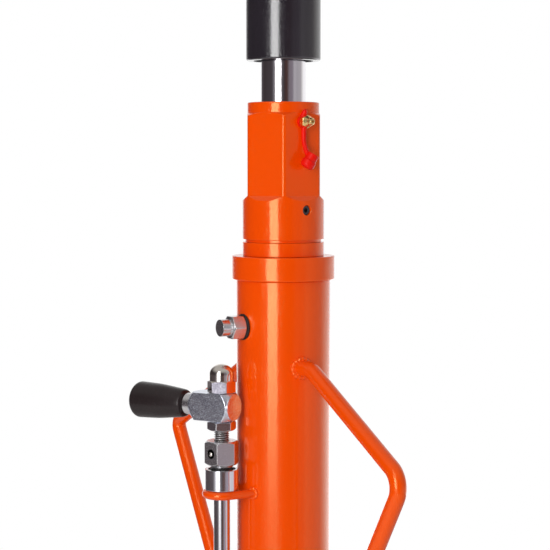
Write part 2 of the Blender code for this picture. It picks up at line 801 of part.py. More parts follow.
def make_filler_plug():
    """The breather plug and its washer, on the tube's -Y side."""
    axis = filler_axis()
    washer_start = FILLER_FACE + SEAT_GAP
    hex_start = washer_start + FILLER_WASHER_HEIGHT + SEAT_GAP
    hex_end = hex_start + FILLER_HEX_LENGTH
    thread = FILLER_THREAD / 2
    washer = turned(
        "filler_washer",
        [
            (FILLER_WASHER_DIAMETER / 2, washer_start + FILLER_WASHER_HEIGHT),
            (FILLER_WASHER_DIAMETER / 2, washer_start),
            (thread + SEAT_GAP, washer_start),
            (thread + SEAT_GAP, washer_start + FILLER_WASHER_HEIGHT),
        ],
        ring=True,
    )
    moved(washer, axis)
    paint(washer, BLACK_RUBBER)
    corner = hex_radius(FILLER_ACROSS)
    face = FILLER_ACROSS / 2 * CHAMFER_SHARE
    cone = (corner - face) * math.tan(math.radians(30))
    cap = FILLER_CAP_DIAMETER / 2
    neck = cap * 0.85
    neck_end = hex_end + FILLER_NECK_LENGTH
    cap_end = neck_end + FILLER_CAP_LENGTH
    edge = 0.0004
    profile = [
        (0, cap_end),
        (cap - edge, cap_end),
        (cap, cap_end - edge),
        (cap, neck_end),
        (neck, neck_end),
        (neck, hex_end),
        (face, hex_end),
        (corner, hex_end - cone),
        (corner, hex_start),
        (thread, hex_start),
        (thread, hex_start - FILLER_THREAD_LENGTH),
        (0, hex_start - FILLER_THREAD_LENGTH),
    ]
    plug = hex_with_round("filler_plug", FILLER_ACROSS, 0.0, 2 * cap_end, profile, flat_angle=30.0)
    moved(plug, axis)
    paint(plug, ZINC)


# Ram, socket and saddle


def make_ram():
    """The chromed ram, its piston and the piston seal."""
    edge = 0.0008
    rod_bottom = PISTON_TOP + SEAT_GAP
    rod_top = SOCKET_BOTTOM + SOCKET_ROD_DEPTH
    rod = turned(
        "piston_rod",
        [
            (0, rod_top),
            (ROD_RADIUS - edge, rod_top),
            (ROD_RADIUS, rod_top - edge),
            (ROD_RADIUS, rod_bottom),
            (0, rod_bottom),
        ],
        COLUMN_SIDES,
    )
    paint(rod, CHROME)
    radius = CYLINDER_BORE / 2 - 2 * RUNNING_GAP
    core = radius - PISTON_SEAL_DEPTH
    seal_top = (PISTON_TOP + PISTON_BOTTOM) / 2 + PISTON_SEAL_HEIGHT / 2
    seal_bottom = seal_top - PISTON_SEAL_HEIGHT
    piston = turned(
        "piston_head",
        [
            (0, PISTON_TOP),
            (radius, PISTON_TOP),
            (radius, seal_top),
            (core, seal_top),
            (core, seal_bottom),
            (radius, seal_bottom),
            (radius, PISTON_BOTTOM + edge),
            (radius - edge, PISTON_BOTTOM),
            (0, PISTON_BOTTOM),
        ],
    )
    paint(piston, ZINC)
    seal_outer = CYLINDER_BORE / 2 - RUNNING_GAP
    seal = turned(
        "piston_seal",
        [
            (seal_outer, seal_top - SEAT_GAP),
            (seal_outer, seal_bottom + SEAT_GAP),
            (core + SEAT_GAP, seal_bottom + SEAT_GAP),
            (core + SEAT_GAP, seal_top - SEAT_GAP),
        ],
        ring=True,
    )
    paint(seal, BLACK_RUBBER)


def make_socket():
    """The black head on the ram: a recess below for the ram, a bore above for the saddle."""
    fillet = 0.0022
    outer = SOCKET_DIAMETER / 2
    ram_bore = ROD_RADIUS + SEAT_GAP
    stem_bore = SADDLE_STEM_DIAMETER / 2 + RUNNING_GAP
    ram_seat = SOCKET_BOTTOM + SOCKET_ROD_DEPTH + SEAT_GAP
    stem_floor = SOCKET_TOP - SADDLE_STEM_LENGTH - RUNNING_GAP
    recess = (outer + ram_bore) / 2
    lower_edge = arc((outer - fillet, SOCKET_BOTTOM + fillet), fillet, 0, -90, 2)
    upper_edge = arc((outer - fillet, SOCKET_TOP - fillet), fillet, 90, 0, 1)
    profile = [
        (0, stem_floor),
        (stem_bore, stem_floor),
        (stem_bore, SOCKET_TOP),
        *upper_edge,
        *lower_edge,
        (recess, SOCKET_BOTTOM),
        (recess, SOCKET_BOTTOM + SOCKET_RECESS_DEPTH),
        (ram_bore, SOCKET_BOTTOM + SOCKET_RECESS_DEPTH),
        (ram_bore, ram_seat),
        (0, ram_seat),
    ]
    socket = turned("saddle_socket", profile, COLUMN_SIDES)
    paint(socket, BLACK_PAINT)


def make_saddle():
    """The turning saddle: a dished disc on a stem, with four raised claws."""
    edge = 0.0015
    outer = SADDLE_DIAMETER / 2
    boss = SOCKET_DIAMETER / 2
    stem = SADDLE_STEM_DIAMETER / 2
    top = SADDLE_BOTTOM + SADDLE_THICKNESS
    dish = SADDLE_DISH
    stem_end = SOCKET_TOP - SADDLE_STEM_LENGTH
    claw_inner = outer - CLAW_DEPTH
    saddle = turned(
        "saddle",
        [
            (0, top - dish),
            (claw_inner - dish, top - dish),
            (claw_inner, top),
            (outer - edge, top),
            (outer, top - edge),
            (outer, SADDLE_BOTTOM + SADDLE_THICKNESS / 2),
            (boss, SADDLE_BOTTOM),
            (stem, SADDLE_BOTTOM),
            (stem, stem_end + edge),
            (stem - edge, stem_end),
            (0, stem_end),
        ],
        COLUMN_SIDES,
    )
    claw_top = top + CLAW_HEIGHT
    root = top - edge
    slope = CLAW_DEPTH * 0.45
    outline = [
        (claw_inner, root),
        (outer - edge, root),
        (outer - edge, claw_top - slope / 2),
        *arc((outer - edge - slope / 2, claw_top - slope / 2), slope / 2, 0, 90, 3),
        (claw_inner + slope, claw_top),
    ]
    claws = []
    for index in range(CLAW_COUNT):
        claw = flat_plate(f"saddle_claw_{index + 1}", outline, CLAW_WIDTH, "XZ")
        turn = math.radians(FIRST_LEG_ANGLE + 360 * index / CLAW_COUNT)
        claws.append(moved(claw, Matrix.Rotation(turn, 4, "Z")))
    fuse(saddle, claws)
    paint(saddle, BLACK_PAINT)


# Handles


def make_handles():
    """The two bent bars welded to the tube, mirror images across the column."""
    seat = cylinder("handle_seat", TUBE_RADIUS + SEAT_GAP, TUBE_BOTTOM, TUBE_TOP, COLUMN_SIDES)
    sunk = TUBE_RADIUS - HANDLE_BAR / 2
    upper = TUBE_TOP - HANDLE_UPPER_DROP
    corner = TUBE_TOP - HANDLE_CORNER_DROP
    lower = TUBE_TOP - HANDLE_LOWER_DROP
    for side, name in ((1, "handle_right"), (-1, "handle_left")):
        path = bent_path(
            [
                (side * sunk, -HANDLE_OFFSET, upper),
                (side * HANDLE_STUB_REACH, -HANDLE_OFFSET, upper),
                (side * HANDLE_REACH, -HANDLE_OFFSET, corner),
                (side * HANDLE_STUB_REACH, -HANDLE_OFFSET, lower),
                (side * sunk, -HANDLE_OFFSET, lower),
            ],
            [HANDLE_STUB_BEND, HANDLE_CORNER_BEND, HANDLE_STUB_BEND],
            4,
        )
        handle = bar(name, path, HANDLE_BAR / 2, 3)
        boolean(handle, seat, "DIFFERENCE")
        paint(handle, ORANGE_PAINT)


# Release control


def at_release(obj, flat_angle=0.0):
    """Stand a piece on the release rod's axis."""
    place(obj, (0, -RELEASE_OFFSET, 0), flat_angle)
    return obj


def make_guide_loop():
    """The bent bar that holds the guide bush, with both ends welded to the tube."""
    loop = [
        (x, y - RELEASE_OFFSET, GUIDE_HEIGHT) for x, y in arc((0, 0), GUIDE_LOOP_RADIUS, 0, -180, 12)
    ]
    inside = -(TUBE_RADIUS - GUIDE_BAR)
    path = [(GUIDE_LOOP_RADIUS, inside, GUIDE_HEIGHT), *loop, (-GUIDE_LOOP_RADIUS, inside, GUIDE_HEIGHT)]
    guide = bar("guide_loop", path, GUIDE_BAR / 2, 3)
    seat = cylinder(
        "guide_seat", TUBE_RADIUS + SEAT_GAP, GUIDE_HEIGHT - GUIDE_BAR, GUIDE_HEIGHT + GUIDE_BAR, COLUMN_SIDES
    )
    boolean(guide, seat, "DIFFERENCE")
    paint(guide, ORANGE_PAINT)


def make_guide_bush():
    """The bush that the release rod turns in, with the seal ring in its open top."""
    outer = BUSH_DIAMETER / 2
    bore = RELEASE_ROD_DIAMETER / 2 + RUNNING_GAP
    seat = outer - BUSH_RIM
    seat_floor = BUSH_TOP - BUSH_SEAT_DEPTH
    edge = 0.0004
    bush = turned(
        "guide_bush",
        [
            (outer - edge, BUSH_TOP),
            (outer, BUSH_TOP - edge),
            (outer, BUSH_BOTTOM + edge),
            (outer - edge, BUSH_BOTTOM),
            (bore, BUSH_BOTTOM),
            (bore, seat_floor),
            (seat, seat_floor),
            (seat, BUSH_TOP),
        ],
        ROUND_SIDES,
        ring=True,
    )
    paint(at_release(bush), ZINC)
    ring_outer = seat - SEAT_GAP
    ring_inner = COUPLING_NECK_DIAMETER / 2 + 2 * RUNNING_GAP
    ring_top = BUSH_TOP - edge
    seal = turned(
        "guide_seal_ring",
        [
            (ring_outer, ring_top - edge),
            (ring_outer, seat_floor + SEAT_GAP),
            (ring_inner, seat_floor + SEAT_GAP),
            (ring_inner, ring_top - edge),
            ((ring_outer + ring_inner) / 2, ring_top),
        ],
        ring=True,
    )
    paint(at_release(seal), BLACK_RUBBER)


def make_release_rod():
    """The long rod from the lever to the release valve; its top is cut down to a stud."""
    radius = RELEASE_ROD_DIAMETER / 2
    stud = STUD_DIAMETER / 2
    shoulder = COUPLING_BOTTOM
    top = CAP_NUT_BOTTOM + CAP_NUT_HEX_HEIGHT
    edge = 0.0008
    rod = turned(
        "release_rod",
        [
            (0, top),
            (stud - edge, top),
            (stud, top - edge),
            (stud, shoulder),
            (radius, shoulder),
            (radius, BLOCK_TOP + SEAT_GAP + VALVE_DIAMETER),
            (0, BLOCK_TOP + SEAT_GAP + VALVE_DIAMETER),
        ],
    )
    cross = cylinder("rod_cross_hole", CROSS_PIN_DIAMETER / 2 + SEAT_GAP, -COUPLING_ACROSS, COUPLING_ACROSS)
    moved(cross, cross_pin_axis())
    boolean(rod, cross, "DIFFERENCE")
    paint(at_release(rod), ZINC)


def cross_pin_axis():
    """The pin's axis, square to the coupling's flat, in the release rod's own frame."""
    middle = (COUPLING_BOTTOM + COUPLING_TOP) / 2
    turn = Matrix.Rotation(math.radians(COUPLING_FLAT_ANGLE), 4, "Z")
    return Matrix.Translation((0, 0, middle)) @ turn @ Matrix.Rotation(math.radians(90), 4, "Y")


def make_coupling():
    """The hexagon that is pinned on the rod, with a neck down into the bush."""
    corner = hex_radius(COUPLING_ACROSS)
    face = COUPLING_ACROSS / 2 * CHAMFER_SHARE
    cone = (corner - face) * math.tan(math.radians(35))
    neck = COUPLING_NECK_DIAMETER / 2
    rod_bore = RELEASE_ROD_DIAMETER / 2 + SEAT_GAP
    stud_bore = STUD_DIAMETER / 2 + SEAT_GAP
    neck_bottom = BUSH_TOP - BUSH_SEAT_DEPTH / 2
    profile = [
        (face, COUPLING_TOP),
        (corner, COUPLING_TOP - cone),
        (corner, COUPLING_BOTTOM + cone),
        (face, COUPLING_BOTTOM),
        (neck * 1.15, COUPLING_BOTTOM),
        (neck, BUSH_TOP),
        (neck, neck_bottom),
        (rod_bore, neck_bottom),
        (rod_bore, COUPLING_BOTTOM + SEAT_GAP),
        (stud_bore, COUPLING_BOTTOM + SEAT_GAP),
        (stud_bore, COUPLING_TOP),
    ]
    low = COUPLING_BOTTOM - COUPLING_HEIGHT
    high = COUPLING_TOP + COUPLING_HEIGHT
    turn = COUPLING_FLAT_ANGLE
    coupling = hex_with_round("rod_coupling", COUPLING_ACROSS, low, high, profile, turn, ring=True)
    hole_radius = CROSS_PIN_DIAMETER / 2 + SEAT_GAP
    cross = cylinder("coupling_cross_hole", hole_radius, -COUPLING_ACROSS, COUPLING_ACROSS)
    moved(cross, cross_pin_axis())
    boolean(coupling, cross, "DIFFERENCE")
    paint(at_release(coupling), ZINC)
    reach = COUPLING_ACROSS / 2 - CROSS_PIN_SUNK
    radius = CROSS_PIN_DIAMETER / 2
    dome = radius * 0.35
    pin = turned(
        "coupling_cross_pin",
        [
            (0, reach),
            (radius * 0.7, reach - dome * 0.4),
            (radius, reach - dome),
            (radius, dome - reach),
            (radius * 0.7, dome * 0.4 - reach),
            (0, -reach),
        ],
    )
    moved(pin, cross_pin_axis())
    paint(at_release(pin), CHROME)


def make_lever_nuts():
    """The thin lock nut below the lever block and the domed nut above it."""
    bore = STUD_DIAMETER / 2 + SEAT_GAP
    jam = chamfered_nut(
        "lever_lock_nut",
        JAM_NUT_ACROSS,
        JAM_NUT_BOTTOM,
        JAM_NUT_BOTTOM + JAM_NUT_HEIGHT,
        bore,
        JAM_NUT_FLAT_ANGLE,
    )
    paint(at_release(jam), ZINC)
    dome = CAP_NUT_DOME / 2
    corner = hex_radius(JAM_NUT_ACROSS)
    hex_top = CAP_NUT_BOTTOM + CAP_NUT_HEX_HEIGHT
    top = CAP_NUT_BOTTOM + CAP_NUT_HEIGHT
    stud_top = hex_top + SEAT_GAP
    base = JAM_NUT_ACROSS / 2
    base_step = 0.0006
    shoulder = top - CAP_NUT_DOME_RISE
    flatness = CAP_NUT_DOME_RISE / dome
    profile = [
        (0, top),
        *[(r, shoulder + flatness * z) for r, z in arc((0, 0), dome, 75, 0, 5)],
        (dome, hex_top),
        (corner, hex_top - (corner - dome) * math.tan(math.radians(25))),
        (corner, CAP_NUT_BOTTOM + base_step),
        (base, CAP_NUT_BOTTOM),
        (bore, CAP_NUT_BOTTOM),
        (bore, stud_top),
        (0, stud_top),
    ]
    low = CAP_NUT_BOTTOM - CAP_NUT_HEIGHT
    high = top + CAP_NUT_HEIGHT
    cap = hex_with_round("lever_cap_nut", JAM_NUT_ACROSS, low, high, profile, CAP_NUT_FLAT_ANGLE)
    paint(at_release(cap), CHROME)


def lever_axis():
    """The lever's own axis, level through the middle of the block, in the rod's frame."""
    turn = Matrix.Rotation(math.radians(LEVER_ANGLE), 4, "Z")
    return Matrix.Translation((0, 0, LEVER_CENTRE)) @ turn @ Matrix.Rotation(math.radians(90), 4, "Y")


def make_lever_block():
    """The square block clamped on the stud, with both ends turned down to a round face."""
    half = LEVER_BLOCK_SIDE / 2
    corner = half * math.sqrt(2) + SEAT_GAP
    spigot = LEVER_SPIGOT_DIAMETER / 2
    chamfer = corner - spigot
    inner = -LEVER_BLOCK_INNER
    outer = LEVER_BLOCK_OUTER
    edge = 0.0003
    block = turned(
        "lever_block",
        [
            (0, outer),
            (spigot - edge, outer),
            (spigot, outer - edge),
            (spigot, outer - LEVER_SPIGOT_LENGTH),
            (corner, outer - LEVER_SPIGOT_LENGTH - chamfer),
            (corner, inner + LEVER_SPIGOT_LENGTH + chamfer),
            (spigot, inner + LEVER_SPIGOT_LENGTH),
            (spigot, inner + edge),
            (spigot - edge, inner),
            (0, inner),
        ],
        ROUND_SIDES,
    )
    square = box("lever_square", (-half, -half, 2 * inner), (half, half, 2 * outer))
    boolean(block, square, "INTERSECT")
    moved(block, lever_axis())
    hole_radius = STUD_DIAMETER / 2 + SEAT_GAP
    hole = cylinder("lever_stud_hole", hole_radius, LEVER_CENTRE - 2 * half, LEVER_CENTRE + 2 * half)
    boolean(block, hole, "DIFFERENCE")
    paint(at_release(block), ZINC)


def make_lever_knob():
    """The tapered knob and the plain ferrule between it and the block."""
    ferrule_start = LEVER_BLOCK_OUTER + SEAT_GAP
    ferrule_end = ferrule_start + FERRULE_LENGTH
    edge = 0.0005
    ferrule_radius = FERRULE_DIAMETER / 2
    ferrule = turned(
        "knob_ferrule",
        [
            (0, ferrule_end),
            (ferrule_radius - edge, ferrule_end),
            (ferrule_radius, ferrule_end - edge),
            (ferrule_radius, ferrule_start + edge),
            (ferrule_radius - edge, ferrule_start),
            (0, ferrule_start),
        ],
    )
    moved(ferrule, lever_axis())
    paint(at_release(ferrule), ZINC)
    start = ferrule_end + SEAT_GAP
    end = start + KNOB_LENGTH
    narrow = KNOB_NARROW / 2
    wide = KNOB_WIDE / 2
    shoulder = narrow * 0.35
    dome = wide * 0.45
    end_arc = [
        (wide * math.sin(a), end - dome + dome * math.cos(a))
        for a in [math.radians(90 * step / 5) for step in range(6)]
    ]
    start_arc = arc((narrow - shoulder, start + shoulder), shoulder, 0, -90, 3)
    profile = [
        *end_arc,
        ((wide + narrow) / 2 + 0.0009, (start + end) / 2),
        *start_arc,
        (0, start),
    ]
    knob = turned("lever_knob", profile, ROUND_SIDES)
    moved(knob, lever_axis())
    paint(at_release(knob), BLACK_PLASTIC)


def make_release_valve():
    """The release valve's spindle in the base block, driven by the rod above it."""
    head = VALVE_DIAMETER * 0.75
    stem = VALVE_DIAMETER / 2 - RUNNING_GAP
    head_bottom = BLOCK_TOP + SEAT_GAP
    head_top = BLOCK_TOP + VALVE_DIAMETER
    stem_bottom = BLOCK_TOP - VALVE_DEPTH + RUNNING_GAP
    edge = 0.0008
    point = 0.004
    valve = turned(
        "release_valve_spindle",
        [
            (0, head_top),
            (head - edge, head_top),
            (head, head_top - edge),
            (head, head_bottom),
            (stem, head_bottom),
            (stem, stem_bottom + point),
            (edge, stem_bottom),
            (0, stem_bottom),
        ],
    )
    paint(at_release(valve), ZINC)


# Base block and legs


def tongue_half_width():
    """Half the octagon's side, which is also half the tongue's width."""
    return BLOCK_ACROSS / 2 * math.tan(math.radians(22.5))


def block_outline():
    """The block's plan: an octagon with a round-ended tongue for the pump on its -Y side."""
    half = BLOCK_ACROSS / 2
    side = tongue_half_width()
    tongue = PUMP_OFFSET
    radius = side
    corners = [(side, half), (-side, half), (-half, side), (-half, -side), (-side, -half)]
    end = arc((0, -tongue), radius, 180, 360, 10)
    return [*corners, *end, (side, -half), (half, -side), (half, side)]


def make_base_block():
    """The hydraulic block under the column, with the pump's tongue and the pedal's lugs."""
    side = tongue_half_width()
    block = flat_plate("base_block", block_outline(), BLOCK_HEIGHT)
    moved(block, Matrix.Translation((0, 0, (BLOCK_BOTTOM + BLOCK_TOP) / 2)))
    spigot = cylinder(
        "cylinder_spigot",
        TUBE_BORE_RADIUS - SEAT_GAP,
        BLOCK_TOP - SPIGOT_HEIGHT,
        BLOCK_TOP + SPIGOT_HEIGHT,
        COLUMN_SIDES,
    )
    lug_outline = [
        (-PEDAL_PIN_OFFSET - LUG_HEIGHT * 0.35, BLOCK_TOP - SPIGOT_HEIGHT),
        (-PEDAL_PIN_OFFSET + LUG_HEIGHT * 0.30, BLOCK_TOP - SPIGOT_HEIGHT),
        *arc((-PEDAL_PIN_OFFSET, PEDAL_PIN_HEIGHT), PEDAL_BOSS_RADIUS, 15, 165, 8),
    ]
    lugs = []
    for direction, name in ((1, "right"), (-1, "left")):
        lug = flat_plate(f"pedal_lug_{name}", lug_outline, LUG_THICKNESS, "YZ")
        out = direction * (side - LUG_THICKNESS / 2 - LUG_INSET)
        lugs.append(moved(lug, Matrix.Translation((out, 0, 0))))
    fuse(block, [spigot, *lugs])
    pin_hole = cylinder("pedal_pin_hole", PEDAL_PIN_DIAMETER / 2 + SEAT_GAP, -BLOCK_ACROSS, BLOCK_ACROSS)
    moved(pin_hole, pedal_pin_axis())
    boolean(block, pin_hole, "DIFFERENCE")
    valve_bore = cylinder("valve_bore", VALVE_DIAMETER / 2, BLOCK_TOP - VALVE_DEPTH, BLOCK_TOP + VALVE_DEPTH)
    moved(valve_bore, Matrix.Translation((0, -RELEASE_OFFSET, 0)))
    boolean(block, valve_bore, "DIFFERENCE")
    thread = PUMP_THREAD_DIAMETER / 2 + SEAT_GAP
    bore = PLUNGER_DIAMETER / 2 + RUNNING_GAP
    pump_bore = turned(
        "pump_bore",
        [
            (0, BLOCK_TOP + BLOCK_HEIGHT),
            (thread, BLOCK_TOP + BLOCK_HEIGHT),
            (thread, BLOCK_TOP - PUMP_THREAD_DEPTH - SEAT_GAP),
            (bore, BLOCK_TOP - PUMP_THREAD_DEPTH - SEAT_GAP),
            (bore, BLOCK_BOTTOM + LUG_THICKNESS),
            (0, BLOCK_BOTTOM + LUG_THICKNESS),
        ],
    )
    moved(pump_bore, Matrix.Translation((0, -PUMP_OFFSET, 0)))
    boolean(block, pump_bore, "DIFFERENCE")
    paint(block, ORANGE_PAINT)


def make_valve_plugs():
    """The two hexagon plugs over the check valves, one on each side of the pump's tongue."""
    start = tongue_half_width() + SEAT_GAP
    middle = (BLOCK_BOTTOM + BLOCK_TOP) / 2
    corner = hex_radius(PLUG_ACROSS)
    face = PLUG_ACROSS / 2 * CHAMFER_SHARE
    cone = (corner - face) * math.tan(math.radians(30))
    profile = [
        (0, start + PLUG_HEIGHT),
        (face, start + PLUG_HEIGHT),
        (corner, start + PLUG_HEIGHT - cone),
        (corner, start),
        (0, start),
    ]
    for direction, side_name in ((1, "right"), (-1, "left")):
        high = 2 * (start + PLUG_HEIGHT)
        plug = hex_with_round(f"check_valve_plug_{side_name}", PLUG_ACROSS, 0.0, high, profile)
        sideways = Matrix.Rotation(math.radians(90 * direction), 4, "Y")
        moved(plug, Matrix.Translation((0, -PUMP_OFFSET, middle)) @ sideways)
        paint(plug, ZINC)


def leg_shape(name, inset, root, tip_radius):
    """A tapering leg: its side outline kept inside its round-ended plan outline."""
    half = LEG_WIDTH / 2 - inset
    tip = CASTOR_CIRCLE_RADIUS
    bottom = LEG_BOTTOM + inset
    root_top = LEG_BOTTOM + LEG_ROOT_HEIGHT - inset
    tip_top = LEG_BOTTOM + LEG_TIP_HEIGHT - inset
    far = tip + tip_radius
    straight = tip - tip_radius
    side = [(root, bottom), (far, bottom), (far, tip_top), (straight, tip_top), (root, root_top)]
    body = flat_plate(name, side, LEG_WIDTH, "XZ")
    start = root - LEG_WALL
    plan = [(start, -half), *arc((tip, 0), half, -90, 90, 10), (start, half)]
    limit = flat_plate(f"{name}_plan", plan, 4 * LEG_ROOT_HEIGHT, "XY")
    moved(limit, Matrix.Translation((0, 0, LEG_BOTTOM)))
    boolean(body, limit, "INTERSECT")
    return body


def make_leg(number, angle):
    """One leg: a hollow tapering box, its gusset up the column, and the castor's bolt hole."""
    root = BLOCK_ACROSS / 2 + SEAT_GAP
    leg = leg_shape(f"leg_{number}", 0.0, root, LEG_WIDTH / 2)
    hollow = leg_shape(f"leg_{number}_hollow", LEG_WALL, root - LEG_WALL, LEG_WIDTH / 2)
    boolean(leg, hollow, "DIFFERENCE")
    inner = TUBE_RADIUS + SEAT_GAP
    leg_top = LEG_BOTTOM + LEG_ROOT_HEIGHT
    block_top = BLOCK_TOP + SEAT_GAP
    gusset_end = root + GUSSET_REACH
    drop = (LEG_ROOT_HEIGHT - LEG_TIP_HEIGHT) * GUSSET_REACH / (CASTOR_CIRCLE_RADIUS - LEG_WIDTH / 2 - root)
    outline = [
        (inner, block_top),
        (root, block_top),
        (root, leg_top - LEG_WALL / 2),
        (gusset_end, leg_top - drop - LEG_WALL / 2),
        (gusset_end, leg_top - drop + LEG_WALL),
        (inner + LEG_WALL * 2, block_top + GUSSET_HEIGHT),
        (inner, block_top + GUSSET_HEIGHT),
    ]
    gusset = flat_plate(f"leg_{number}_gusset", outline, GUSSET_THICKNESS, "XZ")
    seat = cylinder(f"leg_{number}_seat", TUBE_RADIUS + SEAT_GAP, TUBE_BOTTOM, TUBE_TOP, COLUMN_SIDES)
    turn = Matrix.Rotation(math.radians(-angle), 4, "Z")
    moved(seat, turn)
    boolean(gusset, seat, "DIFFERENCE")
    fuse(leg, [gusset])
    hole = cylinder(
        f"leg_{number}_bolt_hole",
        KINGPIN_DIAMETER / 2 + SEAT_GAP,
        LEG_BOTTOM - LEG_ROOT_HEIGHT,
        LEG_BOTTOM + 2 * LEG_ROOT_HEIGHT,
    )
    moved(hole, Matrix.Translation((CASTOR_CIRCLE_RADIUS, 0, 0)))
    boolean(leg, hole, "DIFFERENCE")
    place(leg, (0, 0, 0), angle)
    paint(leg, ORANGE_PAINT)


# Castors


def fork_crown_top():
    """The height of the fork's crown plate, under the bearing cup."""
    return CASTOR_HEIGHT - SEAT_GAP - BEARING_CUP_HEIGHT


def make_fork(number):
    """One castor fork: bearing cup, crown plate and two cheeks down to the axle."""
    crown_top = fork_crown_top()
    crown_bottom = crown_top - FORK_PLATE
    cup = BEARING_CUP_DIAMETER / 2
    cup_top = CASTOR_HEIGHT - SEAT_GAP
    bore = KINGPIN_DIAMETER / 2 + RUNNING_GAP
    waist = cup * 0.86
    half_inside = WHEEL_WIDTH / 2 + FORK_SIDE_CLEARANCE
    half_outside = half_inside + FORK_PLATE
    plate_middle = (crown_top + crown_bottom) / 2
    fork = turned(
        f"castor_{number}_fork",
        [
            (cup, cup_top),
            (cup, cup_top - BEARING_CUP_HEIGHT / 3),
            (waist, cup_top - BEARING_CUP_HEIGHT / 2),
            (waist, plate_middle),
            (bore * 0.8, plate_middle),
            (bore * 0.8, cup_top),
        ],
        ring=True,
    )
    boss = AXLE_DIAMETER + 0.002
    axle_height = WHEEL_DIAMETER / 2
    back = -half_outside * 0.7
    front = CASTOR_TRAIL * 0.9
    cheek_top = crown_top - FORK_PLATE / 4
    cheek_outline = [
        (back - FORK_PLATE, cheek_top),
        *arc((CASTOR_TRAIL, axle_height), boss, 205, 385, 6),
        (front + FORK_PLATE, cheek_top - FORK_PLATE),
        (front, cheek_top),
    ]
    cheek_middle = half_inside + FORK_PLATE / 2
    crown = box(
        f"castor_{number}_crown",
        (back, -cheek_middle, crown_bottom),
        (front - FORK_PLATE, cheek_middle, crown_top),
    )
    cheeks = []
    for direction, name in ((1, "left"), (-1, "right")):
        cheek = flat_plate(f"castor_{number}_cheek_{name}", cheek_outline, FORK_PLATE, "XZ")
        cheeks.append(moved(cheek, Matrix.Translation((0, direction * cheek_middle, 0))))
    fuse(fork, [crown, *cheeks])
    bolt = cylinder(f"castor_{number}_fork_bore", bore, 0.0, 2 * CASTOR_HEIGHT)
    boolean(fork, bolt, "DIFFERENCE")
    axle_hole = cylinder(f"castor_{number}_axle_hole", AXLE_DIAMETER / 2 + SEAT_GAP, -LEG_WIDTH, LEG_WIDTH)
    moved(axle_hole, axle_axis())
    boolean(fork, axle_hole, "DIFFERENCE")
    paint(fork, ZINC)
    return fork


def axle_axis():
    """The wheel axle's axis, in the castor's own frame."""
    hub = Matrix.Translation((CASTOR_TRAIL, 0, WHEEL_DIAMETER / 2))
    return hub @ Matrix.Rotation(math.radians(90), 4, "X")


def make_wheel(number):
    """One castor wheel: a solid wheel with a rounded tread, dished sides and a long hub."""
    outer = WHEEL_DIAMETER / 2
    half = WHEEL_WIDTH / 2
    bore = AXLE_DIAMETER / 2 + RUNNING_GAP
    hub_boss = AXLE_DIAMETER / 2 + HUB_WALL
    hub_half = half + FORK_SIDE_CLEARANCE - RUNNING_GAP
    rim = outer - RIM_THICKNESS
    web = WEB_THICKNESS / 2
    shoulder = RIM_THICKNESS / 3
    wheel = turned(
        f"castor_{number}_wheel",
        [
            (hub_boss, hub_half),
            (hub_boss, web),
            (rim, web),
            (rim, half),
            (outer - shoulder, half),
            (outer, half - shoulder),
            (outer, shoulder - half),
            (outer - shoulder, -half),
            (rim, -half),
            (rim, -web),
            (hub_boss, -web),
            (hub_boss, -hub_half),
            (bore, -hub_half),
            (bore, hub_half),
        ],
        ROUND_SIDES,
        ring=True,
    )
    moved(wheel, Matrix.Rotation(math.radians(90), 4, "X"))
    paint(wheel, GREY_NYLON)
    return wheel


def make_axle(number):
    """One wheel axle: a bolt with a hexagon at each end of the fork."""
    radius = AXLE_DIAMETER / 2
    half = WHEEL_WIDTH / 2 + FORK_SIDE_CLEARANCE + FORK_PLATE + SEAT_GAP
    head = AXLE_HEAD_HEIGHT
    corner = hex_radius(AXLE_HEAD_ACROSS)
    profile = [
        (0, half + head),
        (corner, half + head),
        (corner, half),
        (radius, half),
        (radius, -half),
        (corner, -half),
        (corner, -half - head),
        (0, -half - head),
    ]
    axle = hex_with_round(f"castor_{number}_axle", AXLE_HEAD_ACROSS, -2 * half, 2 * half, profile)
    moved(axle, Matrix.Rotation(math.radians(90), 4, "X"))
    paint(axle, ZINC)
    return axle


def make_castor(number, angle):
    """One castor under the leg's end, trailing outward, on its swivel and wheel empties."""
    swivel = bpy.data.objects.new(f"castor_{number}_swivel_axis", None)
    parts.objects.link(swivel)
    turn = math.radians(angle)
    place(swivel, (CASTOR_CIRCLE_RADIUS * math.cos(turn), CASTOR_CIRCLE_RADIUS * math.sin(turn), 0), angle)
    fork = make_fork(number)
    fork.parent = swivel
    wheel = make_wheel(number)
    axle = make_axle(number)
    for obj in (wheel, axle):
        obj.parent = swivel
        obj.location = (CASTOR_TRAIL, 0, WHEEL_DIAMETER / 2)


def make_kingpins(angles):
    """The four castor bolts, each with its nut on top of the leg and its head under the fork."""
    radius = KINGPIN_DIAMETER / 2
    corner = hex_radius(KINGPIN_NUT_ACROSS)
    nut_bottom = LEG_BOTTOM + LEG_TIP_HEIGHT + SEAT_GAP
    nut_top = nut_bottom + KINGPIN_NUT_HEIGHT
    head_top = fork_crown_top() - FORK_PLATE - SEAT_GAP
    head_bottom = head_top - KINGPIN_HEAD_HEIGHT
    profile = [
        (0, nut_top),
        (corner, nut_top),
        (corner, nut_bottom),
        (radius, nut_bottom),
        (radius, head_top),
        (radius * 1.5, head_top),
        (radius * 1.5, head_bottom),
        (0, head_bottom),
    ]
    for number, angle in enumerate(angles, start=1):
        bolt = hex_with_round(f"castor_{number}_bolt", KINGPIN_NUT_ACROSS, 0.0, 2 * nut_top, profile)
        turn = math.radians(angle)
        place(bolt, (CASTOR_CIRCLE_RADIUS * math.cos(turn), CASTOR_CIRCLE_RADIUS * math.sin(turn), 0), angle)
        paint(bolt, ZINC)


# Foot pump


